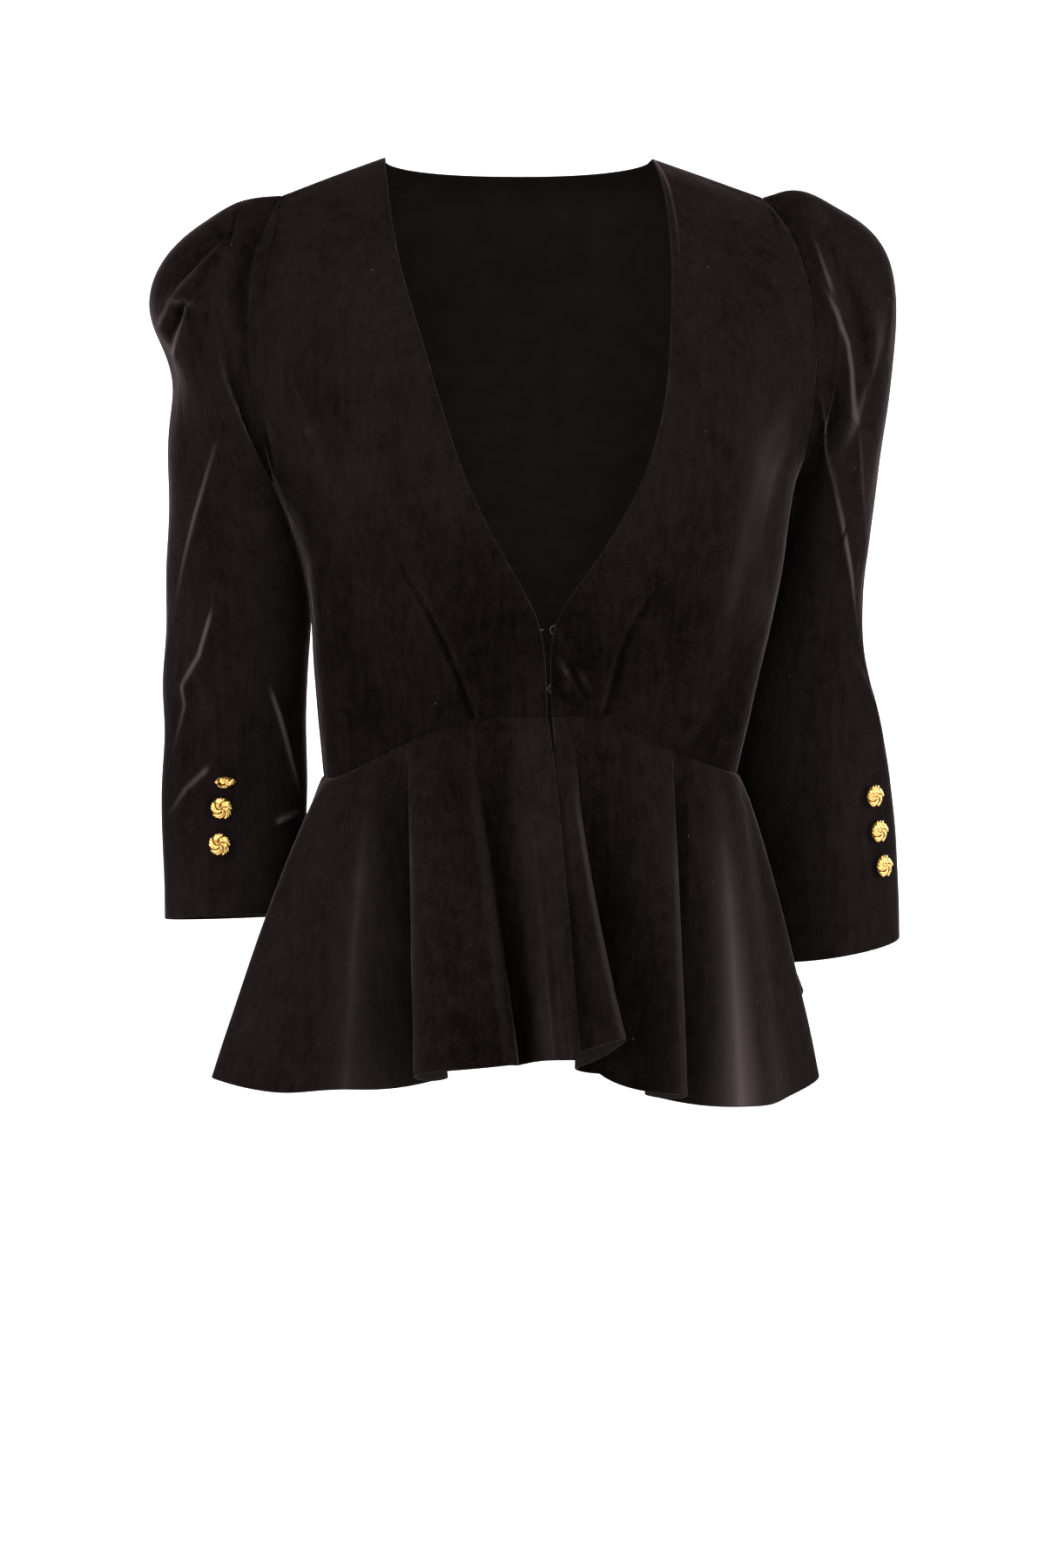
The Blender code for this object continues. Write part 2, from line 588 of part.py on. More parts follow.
def make_buttons(side, sleeve, gilt):
    """Three buttons beside the vent, each standing on the cloth by its shank or, drooped, its rim."""
    cloth = BVHTree.FromPolygons(
        [vertex.co for vertex in sleeve.data.vertices], [face.vertices for face in sleeve.data.polygons]
    )
    for number, place in enumerate(BUTTONS[side], start=1):
        grid, out = sleeve_grid(side, np.array([[place.turn]]), np.array([place.along]))
        normal = Vector(out[0, 0])
        foot, facet, _, _ = cloth.ray_cast(Vector(grid[0, 0]) + normal * 0.02, -normal)
        droop = math.radians(place.droop)
        facing = Matrix.Rotation(droop, 3, facet.cross(Vector((0, 0, -1)))) @ facet
        rim = BUTTON_RADIUS * math.sin(droop) - (SHANK_LENGTH + RIM_HEIGHT) * math.cos(droop)
        lift = 1.2 * SEAM_GAP + max(SHANK_RADIUS * math.sin(droop), rim)
        mesh = button_mesh(f"button_{side}_{number}")
        button = add_object(mesh.name, mesh, gilt)
        turned = facing.to_track_quat("Z", "Y").to_matrix().to_4x4()
        button.matrix_world = Matrix.Translation(foot + facet * lift) @ turned


def wire(name, points, finish):
    """A bent wire through the points."""
    curve = bpy.data.curves.new(name, "CURVE")
    curve.dimensions = "3D"
    curve.bevel_depth = WIRE_RADIUS
    curve.bevel_resolution = 1
    curve.use_fill_caps = True
    spline = curve.splines.new("POLY")
    spline.points.add(len(points) - 1)
    for control, point in zip(spline.points, points):
        control.co = (*point, 1)
    curve.materials.append(finish)
    made = bpy.data.objects.new(name, curve)
    bpy.context.scene.collection.objects.link(made)
    made.parent = bpy.data.objects["jacket"]
    return made


def make_fastener(name, up, steel):
    """A hook behind the right front's edge and the eye that it faces behind the left front's edge."""
    behind = CLOTH + WIRE_RADIUS + SEAM_GAP
    right = front_point("right", np.zeros(1), np.array([up]))[0] + (0, behind, 0)
    left = front_point("left", np.zeros(1), np.array([up]))[0] + (0, behind, 0)
    tail = HOOK_REACH
    hook = [
        right + (-tail, 0, HOOK_LOOP),
        right + (-tail / 2, HOOK_LOOP * 0.6, HOOK_LOOP / 2),
        right + (0, HOOK_LOOP * 1.1, 0),
        right + (HOOK_LOOP, HOOK_LOOP * 1.1, 0),
        right + (HOOK_LOOP * 1.4, HOOK_LOOP * 1.9, 0),
        right + (HOOK_LOOP, HOOK_LOOP * 2.6, 0),
        right + (0, HOOK_LOOP * 2.6, 0),
    ]
    wire(f"hook_{name}", hook, steel)
    turns = np.linspace(-0.8, 0.8, 5) * math.pi / 2 + math.pi
    bow = [left + (HOOK_LOOP * math.cos(a) * 0.5, 0, HOOK_LOOP * math.sin(a)) for a in turns]
    eye = [left + (tail, 0, HOOK_LOOP * 1.4)] + bow + [left + (tail, 0, -HOOK_LOOP * 1.4)]
    wire(f"eye_{name}", eye, steel)


def main():
    for old in list(bpy.data.objects):
        bpy.data.objects.remove(old)
    root = bpy.data.objects.new("jacket", None)
    bpy.context.scene.collection.objects.link(root)
    velvet = material("velvet", (0.022, 0.016, 0.018), 0.95, 0.0)
    gilt = material("gilt", (0.83, 0.60, 0.24), 0.25, 1.0)
    steel = material("black_steel", (0.03, 0.03, 0.03), 0.40, 1.0)
    make_back(velvet)
    for panel in PANELS:
        make_peplum(panel, velvet)
    for side in SIDES:
        make_front(side, velvet)
        make_buttons(side, make_sleeve(side, velvet), gilt)
    for name, up in HOOK_LEVELS.items():
        make_fastener(name, up, steel)


main()
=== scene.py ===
"""Looks of a black velvet jacket with puffed sleeves, gilt cuff buttons and a fluted peplum, as worn."""

import math
from collections import namedtuple

import bmesh
import bpy
import numpy as np
from mathutils import Matrix, Vector, noise
from mathutils.bvhtree import BVHTree


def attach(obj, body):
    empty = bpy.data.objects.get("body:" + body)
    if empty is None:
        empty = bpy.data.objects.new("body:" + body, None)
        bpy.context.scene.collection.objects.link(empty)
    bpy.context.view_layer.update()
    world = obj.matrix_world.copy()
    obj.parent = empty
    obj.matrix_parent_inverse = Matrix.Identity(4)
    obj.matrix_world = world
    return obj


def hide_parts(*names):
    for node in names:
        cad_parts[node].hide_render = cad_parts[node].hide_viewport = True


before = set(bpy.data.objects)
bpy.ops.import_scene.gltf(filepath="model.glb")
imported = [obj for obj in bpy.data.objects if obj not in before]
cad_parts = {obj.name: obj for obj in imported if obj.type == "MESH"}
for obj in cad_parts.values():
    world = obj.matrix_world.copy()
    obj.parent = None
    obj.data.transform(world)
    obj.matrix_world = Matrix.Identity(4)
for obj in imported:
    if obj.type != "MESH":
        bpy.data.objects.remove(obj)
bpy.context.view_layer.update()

# Bodice: two fronts and a back cut in short-pile black velvet and sewn at the sides and shoulders.
# The neck and front edges are turned in and left plain, and a dart shapes each front to the waist.
# Each piece is a thin shell of cloth: pile on the face, the bare weave of the backing inside.
CLOTH = 0.0018
SEAM_LAP = 0.0014
SEAM_DIP = 0.0003
SIDES = {"right": -1, "left": 1}
BODY_MIDDLE = np.array([0, 0, -0.2])
SQUARENESS = 2.3
Level = namedtuple(
    "Level",
    "up edge_z side_z back_z flat side_y front_y back_y half_r half_l edge_r edge_l arm_r arm_l",
)
LEVEL_ROWS = (
    (0.0, -0.371, -0.42, -0.424, 0.04, 0.0, -0.108, 0.086, 0.138, 0.146, 0.0014, 0.0014, 0.138, 0.146),
    (0.16, -0.313, -0.35, -0.352, 0.02, 0.0, -0.11, 0.092, 0.144, 0.162, 0.006, 0.0016, 0.144, 0.162),
    (0.33, -0.262, -0.285, -0.286, 0.04, 0.002, -0.123, 0.1, 0.149, 0.177, 0.034, 0.033, 0.149, 0.177),
    (0.5, -0.21, -0.222, -0.224, 0.06, 0.004, -0.131, 0.107, 0.172, 0.186, 0.06, 0.061, 0.172, 0.186),
    (0.63, -0.165, -0.17, -0.17, 0.074, 0.005, -0.126, 0.111, 0.209, 0.207, 0.074, 0.074, 0.19, 0.188),
    (0.76, -0.12, -0.122, -0.118, 0.084, 0.008, -0.111, 0.109, 0.224, 0.22, 0.085, 0.081, 0.196, 0.189),
    (0.87, -0.062, -0.074, -0.06, 0.094, 0.012, -0.076, 0.094, 0.216, 0.212, 0.097, 0.088, 0.19, 0.186),
    (0.95, -0.018, -0.042, -0.017, 0.095, 0.018, -0.03, 0.064, 0.192, 0.196, 0.097, 0.091, 0.174, 0.178),
    (1.0, 0.0, -0.026, 0.0, 0.093, 0.02, 0.02, 0.02, 0.182, 0.188, 0.093, 0.092, 0.163, 0.169),
)
LEVELS = [Level(*row) for row in LEVEL_ROWS]
WAIST_BEND = {"right": 1.6, "left": 0.78}
BEND_TOP_UP = 0.33
UNDERARM_UP = 0.50
BACK_ARM_SCOOP = 0.05
NECK_DROP = 0.035
# Shares of a panel near its borders that keep the drawn shape, and that no fold reaches.
SIDE_KEPT, WAIST_KEPT, SHOULDER_KEPT = 0.15, 0.05, 0.07
FOLD_FREE, SEAM_FREE = 0.08, 0.05
BLEND_PASSES = 70
FRONT_SPAN = 0.17
Dart = namedtuple("Dart", "waist_across top_across top_up half_width depth")
DARTS = {
    "right": Dart(0.205, 0.345, 0.335, 0.0020, 0.0007),
    "left": Dart(0.137, 0.190, 0.258, 0.0020, 0.0007),
}

# Creases are drawn in millimetres across and down from the origin on a view of the jacket, from in
# front or from behind: height out of the cloth, how far each crease fades to the left and right.
# A crest is as round as the cloth there bends, and a trough is soft.
Fold = namedtuple("Fold", "height left right line")
BODICE_CREST, CREASE_CREST = 5.0, 1.2
# Painted highlight runs along the soft streaks of the left front,
# and painted shade darkens both fronts towards the waist.
STREAK_SHINE = {"right": 0.0, "left": 270.0}
LOW_DARK, LOW_DARK_TOP, LOW_DARK_FADE = 0.42, 0.52, 0.3
WAIST_CREASES = {
    "left": (
        Fold(1.6, 4, 4, ((117, 384), (101, 402))),
        Fold(2.0, 4, 5, ((22, 342), (28, 352), (41, 374))),
        Fold(1.2, 3, 3, ((25, 357), (31, 366))),
        Fold(1.4, 3, 4, ((36, 350), (45, 365))),
    ),
}
BODICE_FOLDS = {
    "right": (
        Fold(1.6, 6, 14, ((-143, 186), (-140, 193), (-121, 237), (-116, 252))),
        Fold(1.0, 4, 6, ((-170, 176), (-163, 217), (-158, 232))),
        Fold(1.3, 5, 7, ((-122, 250), (-123, 261), (-133, 325), (-134, 340))),
        Fold(1.0, 4, 6, ((-138, 262), (-139, 271), (-144, 300), (-145, 312))),
    ),
    "left": (
        Fold(1.5, 16, 9, ((182, 163), (160, 202), (143, 264), (131, 313), (120, 366), (104, 400))),
        Fold(0.9, 5, 4, ((176, 190), (166, 216), (158, 250), (151, 300))),
        Fold(0.8, 4, 4, ((150, 262), (139, 306), (131, 350), (118, 384))),
        Fold(1.6, 8, 6, ((163, 283), (158, 337))),
    ),
    "back": (
        Fold(2.0, 12, 10, ((-110, 170), (-96, 240), (-90, 320))),
        Fold(2.2, 10, 14, ((112, 160), (100, 230), (94, 330))),
        Fold(-1.4, 9, 9, ((-30, 330), (-40, 395))),
        Fold(-1.2, 9, 9, ((34, 340), (40, 395))),
    ),
}


def smooth(keys, rows, at):
    """Rows read at the places at, on a smooth curve through them; keys say where each row is."""
    keys = np.asarray(keys, float)
    rows = np.asarray(rows, float)
    at = np.asarray(at, float)
    steps = np.diff(keys)
    slopes = np.diff(rows, axis=0) / steps[:, None]
    before, after = steps[:-1, None], steps[1:, None]
    inner = (slopes[:-1] * after + slopes[1:] * before) / (before + after)
    tangents = np.vstack([slopes[:1], inner, slopes[-1:]])
    i = np.clip(np.searchsorted(keys, at, side="right") - 1, 0, len(steps) - 1)
    step = steps[i][:, None]
    u = (at - keys[i])[:, None] / step
    return (
        rows[i] * (1 + 2 * u) * (1 - u) ** 2
        + tangents[i] * step * u * (1 - u) ** 2
        + rows[i + 1] * u**2 * (3 - 2 * u)
        + tangents[i + 1] * step * u**2 * (u - 1)
    )


def table_at(table, at):
    """The columns of a table read at the places at; its first column says where each row is."""
    return smooth([row[0] for row in table], [row[1:] for row in table], at)


def lengths(points):
    """How far along a line of points each one lies."""
    return np.concatenate([[0], np.cumsum(np.linalg.norm(np.diff(points, axis=0), axis=1))])


def angle_out(x, half):
    """How far round the squarish section x lies: 0 at the centre line, a right angle at the side."""
    return np.arcsin(np.clip(x / half, 0, 1) ** (SQUARENESS / 2))


def bodice_level(side, up):
    """The levels read at heights up, with the half width, edge and armhole of one side."""
    level = Level(*smooth([row.up for row in LEVELS], LEVELS, up).T)
    if side == "right":
        return level, level.half_r, level.edge_r, level.arm_r
    return level, level.half_l, level.edge_l, level.arm_l


def section_point(angle, half, depth):
    """x out and y from the side, on a squarish quarter section."""
    power = 2 / SQUARENESS
    return half * np.sin(angle) ** power, depth * np.clip(np.cos(angle), 0, 1) ** power


def front_point(side, across, up):
    """Points of a front: across is 0 at the front edge and 1 at the side seam or armhole."""
    level, half, edge, arm = bodice_level(side, up)
    start, end = angle_out(edge, half), angle_out(arm, half)
    x, y = section_point(start + across * (end - start), half, level.front_y - level.side_y)
    slope = np.clip((x - level.flat) / (arm - level.flat), 0, 1)
    bend = 1 + (WAIST_BEND[side] - 1) * np.clip(1 - up / BEND_TOP_UP, 0, 1)
    z = level.edge_z + (level.side_z - level.edge_z) * slope**bend
    return np.stack([SIDES[side] * x, level.side_y + y, z], axis=-1)


def back_point(side, across, up):
    """Points of one half of the back: across is 0 at the centre and 1 at the side seam or armhole."""
    level, half, _, arm = bodice_level(side, up)
    above = np.clip((up - UNDERARM_UP) / (1 - UNDERARM_UP), 0, 1)
    arm = arm * (1 - BACK_ARM_SCOOP * np.sin(math.pi * above))
    x, y = section_point(across * angle_out(arm, half), half, level.back_y - level.side_y)
    slope = np.clip((x - level.flat) / (arm - level.flat), 0, 1)
    z = level.back_z + (level.side_z - level.back_z) * slope
    return np.stack([SIDES[side] * x, level.side_y + y, z], axis=-1)


def view_from(azimuth, elevation):
    """Right, up and towards the viewer, seen from an azimuth and elevation in degrees."""
    turn, rise = math.radians(azimuth), math.radians(elevation)
    right = np.array([math.cos(turn), math.sin(turn), 0.0])
    near = np.array([math.sin(turn) * math.cos(rise), -math.cos(turn) * math.cos(rise), math.sin(rise)])
    return right, np.cross(near, right), near


IN_FRONT = view_from(-9, 6)
BEHIND = view_from(171, 6)


def fold_lift(folds, view, points, normals, round_off):
    """How far the folds lift each point; only cloth that faces the view is folded."""
    right, up, near = view
    place = np.stack([points @ right, -(points @ up)], axis=-1) * 1000
    total = np.zeros(points.shape[:-1])
    for fold in folds:
        line = np.array(fold.line, float)
        away = np.full(total.shape, np.inf)
        share, aside = np.zeros(total.shape), np.zeros(total.shape)
        for k, (start, end) in enumerate(zip(line, line[1:])):
            run = end - start
            part = np.clip(((place - start) @ run) / (run @ run), 0, 1)
            off = place - start - part[..., None] * run
            far = np.linalg.norm(off, axis=-1)
            nearer = far < away
            away = np.where(nearer, far, away)
            share = np.where(nearer, (k + part) / (len(line) - 1), share)
            aside = np.where(nearer, off[..., 0] * run[1] - off[..., 1] * run[0], aside)
        width = np.where(aside < 0, fold.left, fold.right)
        fade = np.sin(math.pi * (0.1 + 0.8 * share))
        trough = np.exp(-((away / width) ** 2))
        crest = np.exp(-(np.hypot(away, round_off) - round_off) / width)
        total += fold.height * np.where(fold.height > 0, crest, trough) * fade
    return total * np.clip((normals @ near) / 0.3, 0, 1) / 1000


def outward(grid, inside):
    """The way out of the cloth at each point of a grid, away from the side where inside lies."""
    out = np.cross(np.gradient(grid, axis=1), np.gradient(grid, axis=0))
    out /= np.linalg.norm(out, axis=-1, keepdims=True)
    return out * np.sign(((grid - inside) * out).sum(axis=-1).mean())


def eased(grid, passes, hold):
    """The grid with its rows blended into each other, except where hold is 1."""
    soft = grid.copy()
    for _ in range(passes):
        soft[1:-1] = (soft[:-2] + 2 * soft[1:-1] + soft[2:]) / 4
    return soft + (grid - soft) * hold[..., None]


def nearing(share, width):
    """0 until a share comes within a width of 1, then rising to 1 there."""
    return np.clip(1 - (1 - share) / width, 0, 1)


def uneven(grid, size, height, seed):
    """A slow random rise and fall of the cloth."""
    shift = Vector((seed, seed * 0.37, -seed))
    flat = [noise.noise(Vector(point) / size + shift) for point in grid.reshape(-1, 3)]
    return height * np.reshape(flat, grid.shape[:2])


class Shade:
    """A socket of a node tree: sums and products of sockets add Math nodes to the tree."""

    def __init__(self, tree, socket=None):
        self.tree, self.socket = tree, socket

    def add(self, kind, settings=(), sockets=(), outlet=0):
        """A node of a kind with its settings, then the values or links of its sockets."""
        node = self.tree.nodes.new(kind)
        for name, value in dict(settings).items():
            setattr(node, name, value)
        for name, value in dict(sockets).items():
            if isinstance(value, Shade):
                self.tree.links.new(value.socket, node.inputs[name])
            else:
                node.inputs[name].default_value = value
        return Shade(self.tree, node.outputs[outlet])

    def math(self, operation, *values):
        """One Math node of these values."""
        return self.add("ShaderNodeMath", {"operation": operation}, enumerate(values))

    def mix(self, low, high):
        """A colour between low and high, by this value."""
        return self.add("ShaderNodeMix", {"data_type": "RGBA"}, {0: self, 6: low, 7: high}, 2)

    def __add__(self, other):
        return self.math("ADD", self, other)

    def __sub__(self, other):
        return self.math("SUBTRACT", self, other)

    def __rsub__(self, other):
        return self.math("SUBTRACT", other, self)

    def __mul__(self, other):
        return self.math("MULTIPLY", self, other)

    def __pow__(self, other):
        return self.math("POWER", self, other)

    __radd__, __rmul__ = __add__, __mul__


def new_finish(name, read="Object", **constants):
    """A material with a Principled shader, its constants on its own sockets, and its coordinates."""
    made = bpy.data.materials.new(name)
    made.use_nodes = True
    shader = made.node_tree.nodes["Principled BSDF"]
    for socket, value in constants.items():
        shader.inputs[socket.replace("_", " ")].default_value = value
    shade = Shade(made.node_tree)
    return made, shade, shader, shade.add("ShaderNodeTexCoord", outlet=read)


def feed(shader, **links):
    """Links worked-out values to the shader's sockets."""
    for socket, value in links.items():
        value.tree.links.new(value.socket, shader.inputs[socket.replace("_", " ")])


def mottle(shade, place, scale, detail):
    """An even random pattern of a finish."""
    return shade.add("ShaderNodeTexNoise", {}, {"Vector": place, "Scale": scale, "Detail": detail})


def velvet_pile():
    """Short cut pile: brown-black face on, plum sheen, painted plum highlight and shade, a cloudy nap."""
    made, shade, shader, place = new_finish(
        "velvet_pile",
        Specular_IOR_Level=0.0,
        Sheen_Weight=0.115,
        Sheen_Roughness=0.20,
        Sheen_Tint=(1.0, 0.77, 0.80, 1),
    )
    drawn = shade.add("ShaderNodeMapping", {}, {"Vector": place, "Scale": (1, 1, 0.35)})
    clouds = mottle(shade, drawn, 22, 4)
    patches = mottle(shade, place, 95, 4)
    brushed_and_painted_light = shade.add("ShaderNodeMapping", {}, {"Vector": place, "Scale": (1, 1, 0.15)})
    strokes = mottle(shade, brushed_and_painted_light, 260, 3)
    tufts = mottle(shade, place, 1300, 2)
    # The bend attribute carries painted light: above 0 a painted plum highlight on ridges, free borders and
    # bright bands, below 0 painted shade that darkens the base colour in valleys and dark bands.
    bend = shade.add("ShaderNodeAttribute", {"attribute_name": "bend"}, outlet="Fac")
    ridge, valley = shade.math("MAXIMUM", bend, 0.0), shade.math("MAXIMUM", bend * -1.0, 0.0)
    nap = (clouds - 0.5) * 0.6 + (patches - 0.5) * 0.38 + (strokes - 0.5) * 0.45 + (tufts - 0.5) * 1.1
    colour = (nap + 0.42 - valley * 0.5).mix((0.0014, 0.0009, 0.0008, 1), (0.0112, 0.0081, 0.0079, 1))
    colour = (ridge ** 2.6 * 0.8).mix(colour, (0.066, 0.050, 0.053, 1))
    lint = {"Vector": place, "Scale": 55}
    speck = shade.math("LESS_THAN", shade.add("ShaderNodeTexVoronoi", {}, lint), 0.030)
    chosen = shade.math("GREATER_THAN", shade.add("ShaderNodeTexVoronoi", {}, lint, "Color"), 0.66)
    colour = (speck * chosen * 0.6).mix(colour, (0.060, 0.054, 0.052, 1))
    relief = clouds * 0.7 + patches * 0.2 + strokes * 0.12 + tufts * 0.05
    bump = shade.add("ShaderNodeBump", {}, {"Strength": 0.8, "Distance": 0.003, "Height": relief})
    feed(shader, Base_Color=colour, Roughness=0.8 + clouds * 0.2, Normal=bump)
    return made


def velvet_backing():
    """The bare back of the velvet: a close plain weave of black cotton, dull and a little paler."""
    made, shade, shader, place = new_finish("velvet_backing", "UV", Specular_IOR_Level=0.02)
    warp = shade.add("ShaderNodeTexWave", {"bands_direction": "X"}, {"Vector": place, "Scale": 600})
    weft = shade.add("ShaderNodeTexWave", {"bands_direction": "Y"}, {"Vector": place, "Scale": 600})
    slub = mottle(shade, place, 60, 4)
    weave = warp * weft
    colour = (weave * 0.3 + slub * 0.7).mix((0.0045, 0.0032, 0.0030, 1), (0.0150, 0.0115, 0.0110, 1))
    bump = shade.add("ShaderNodeBump", {}, {"Strength": 0.3, "Distance": 0.0003, "Height": weave})
    feed(shader, Base_Color=colour, Roughness=0.8 + slub * 0.15, Normal=bump)
    return made


pile, backing = velvet_pile(), velvet_backing()


def ridges(grid, out):
    """How sharply the cloth bends at each point: 1 on a tight ridge, -1 in a tight valley."""
    tight, finest_step = 140.0, 0.0005
    bend = np.zeros(grid.shape[:2])
    for axis in (0, 1):
        lines, ways, total = (a if axis == 0 else a.swapaxes(0, 1) for a in (grid, out, bend))
        step = np.linalg.norm(lines[2:] - lines[:-2], axis=-1) / 2
        drop = ((2 * lines[1:-1] - lines[2:] - lines[:-2]) * ways[1:-1]).sum(axis=-1)
        total[1:-1] += drop / np.maximum(step, finest_step) ** 2
    for _ in range(2):
        wide = np.pad(bend, 1, mode="edge")
        beside = wide[:-2, 1:-1] + wide[2:, 1:-1] + wide[1:-1, :-2] + wide[1:-1, 2:]
        bend = (bend * 2 + beside) / 6
    return np.clip(bend / tight, -1, 1)


def faced_outward(mesh):
    """Turns the faces of a closed mesh outward and shades them smooth."""
    shape = bmesh.new()
    shape.from_mesh(mesh)
    bmesh.ops.recalc_face_normals(shape, faces=shape.faces)
    shape.to_mesh(mesh)
    shape.free()
    mesh.polygons.foreach_set("use_smooth", [True] * len(mesh.polygons))


def placed(name, content):
    """An object of the scene that holds a mesh, a lamp or a camera."""
    made = bpy.data.objects.new(name, content)
    bpy.context.scene.collection.objects.link(made)
    return made


# Painted highlight along the free borders of each piece of cloth.
RIM_SHINE = 0.35


def cloth_shell(name, grid, out, brushed_and_painted_light, sewn, keen=1.0):
    """A piece of cloth with the grid as its face, all its borders rounded.

    The fourth argument adds painted highlight above 0 and painted shade below it, keen says how strongly
    the ridges get painted highlight and the valleys painted shade, and sewn which borders meet their
    neighbours; free borders get a painted highlight.
    """
    rows, columns = grid.shape[:2]
    painted_light = np.clip(ridges(grid, out) * keen + brushed_and_painted_light, -1, 1)
    grid, past, rim = grid.copy(), np.zeros_like(grid), np.zeros(grid.shape[:2])
    borders = {"first": (0, 1, 0), "last": (-1, -2, 0), "start": (0, 1, 1), "end": (-1, -2, 1)}
    for border, (at, beside, axis) in borders.items():
        lines, ways, spread, glint = (a if axis == 0 else a.swapaxes(0, 1) for a in (grid, out, past, rim))
        away = np.cross(ways[at], np.gradient(lines[at], axis=0))
        away *= np.sign((away * (lines[at] - lines[beside])).sum(axis=-1, keepdims=True))
        away /= np.linalg.norm(away, axis=-1, keepdims=True)
        lines[at] -= away * (CLOTH / 2 - (SEAM_LAP / 2 if border in sewn else 0))
        lines[at] -= ways[at] * (SEAM_DIP if border in sewn else 0)
        spread[at] += away
        glint[at] = 0.0 if border in sewn else RIM_SHINE
    index = np.arange(rows * columns).reshape(rows, columns)
    loop = np.concatenate([index[0], index[1:, -1], index[-1, -2::-1], index[-2:0:-1, 0]])
    face, ways = grid.reshape(-1, 3), out.reshape(-1, 3)
    inner = face - ways * CLOTH
    past = past.reshape(-1, 3)[loop]
    past /= np.linalg.norm(past, axis=-1, keepdims=True)
    middle = (face[loop] + inner[loop]) / 2
    points, rings = [face, inner], [loop]
    for degrees in (45, 90, 135):
        a = math.radians(degrees)
        rings.append(2 * len(face) + (len(rings) - 1) * len(loop) + np.arange(len(loop)))
        points.append(middle + (ways[loop] * math.cos(a) + past * math.sin(a)) * CLOTH / 2)
    rings.append(loop + len(face))
    quads = np.stack([index[:-1, :-1], index[:-1, 1:], index[1:, 1:], index[1:, :-1]], -1).reshape(-1, 4)
    faces = [quads, quads[:, ::-1] + len(face)]
    for a, b in zip(rings, rings[1:]):
        faces.append(np.stack([a, np.roll(a, -1), np.roll(b, -1), b], axis=-1))
    faces = np.concatenate(faces)
    mesh = bpy.data.meshes.new(name)
    mesh.from_pydata(np.concatenate(points).tolist(), [], faces.tolist())
    inside = np.zeros(len(faces), np.int32)
    inside[len(quads) : 2 * len(quads)] = 1
    mesh.materials.append(pile)
    mesh.materials.append(backing)
    mesh.polygons.foreach_set("material_index", inside)
    wide = np.linalg.norm(np.diff(grid, axis=1), axis=-1).sum(axis=1)
    long = np.linalg.norm(np.diff(grid, axis=0), axis=-1).sum(axis=0)
    flat = np.stack(np.meshgrid(np.linspace(0, wide.mean(), columns), np.linspace(0, long.mean(), rows)), -1)
    flat = flat.reshape(-1, 2)
    flat = np.concatenate([flat, flat] + [flat[loop]] * 3)
    corners = np.empty(len(mesh.loops), np.int32)
    mesh.loops.foreach_get("vertex_index", corners)
    mesh.uv_layers.new(name="cloth").data.foreach_set("uv", flat[corners].ravel())
    # The bend attribute holds the painted light: highlight and shade on the face, its negative inside, and
    # the painted highlight round the free borders.
    painted_light, rim = painted_light.ravel(), np.tile(rim.ravel()[loop], 3)
    bent = mesh.attributes.new("bend", "FLOAT", "POINT")
    bent.data.foreach_set("value", np.concatenate([painted_light, -painted_light, rim]))
    faced_outward(mesh)
    return placed(name, mesh)


def stands_for(piece, slot, *nodes):
    """The piece rides with the jacket in place of these solids."""
    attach(piece, "root")
    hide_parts(*nodes)


def front_grid(side, rows, columns):
    """Points of a front with its folds and the sewn line of its dart, the way out, its painted light."""
    dart = DARTS[side]
    up = np.linspace(0, 1, rows)
    crease = dart.waist_across + (dart.top_across - dart.waist_across) * np.minimum(1, up / dart.top_up)
    inner = columns // 3
    steps = np.concatenate([np.arange(inner) / inner, np.full(columns - inner, 1.0)])
    beyond = np.concatenate([np.zeros(inner), np.linspace(0, 1, columns - inner)])
    across = crease[:, None] * steps + (1 - crease[:, None]) * beyond
    tall = np.repeat(up[:, None], columns, axis=1)
    grid = front_point(side, across.ravel(), tall.ravel()).reshape(rows, columns, 3)
    kept = np.maximum(nearing(across, SIDE_KEPT), nearing(1 - tall, WAIST_KEPT))
    grid = eased(grid, BLEND_PASSES, np.maximum(kept, nearing(tall, SHOULDER_KEPT)))
    out = outward(grid, BODY_MIDDLE)
    free = (1 - nearing(across, FOLD_FREE)) * (1 - nearing(1 - tall, FOLD_FREE))
    lift = fold_lift(BODICE_FOLDS[side], IN_FRONT, grid, out, BODICE_CREST)
    # Painted highlight along the folds' streaks, and painted shade darker towards the waist.
    low = np.clip((LOW_DARK_TOP - tall) / LOW_DARK_FADE, 0, 1)
    brushed_and_painted_light = lift * free * STREAK_SHINE[side] - LOW_DARK * low
    lift = (lift + fold_lift(WAIST_CREASES.get(side, ()), IN_FRONT, grid, out, CREASE_CREST)) * free
    beside = (across - crease[:, None]) * FRONT_SPAN / dart.half_width
    lift -= dart.depth * np.exp(-(beside**2)) * np.clip(1.15 - tall / dart.top_up, 0, 1) ** 0.5
    lift += uneven(grid, 0.05, 0.0007, 3.1) * np.minimum(1, free * 2)
    grid = grid + out * lift[..., None]
    return grid, outward(grid, BODY_MIDDLE), brushed_and_painted_light


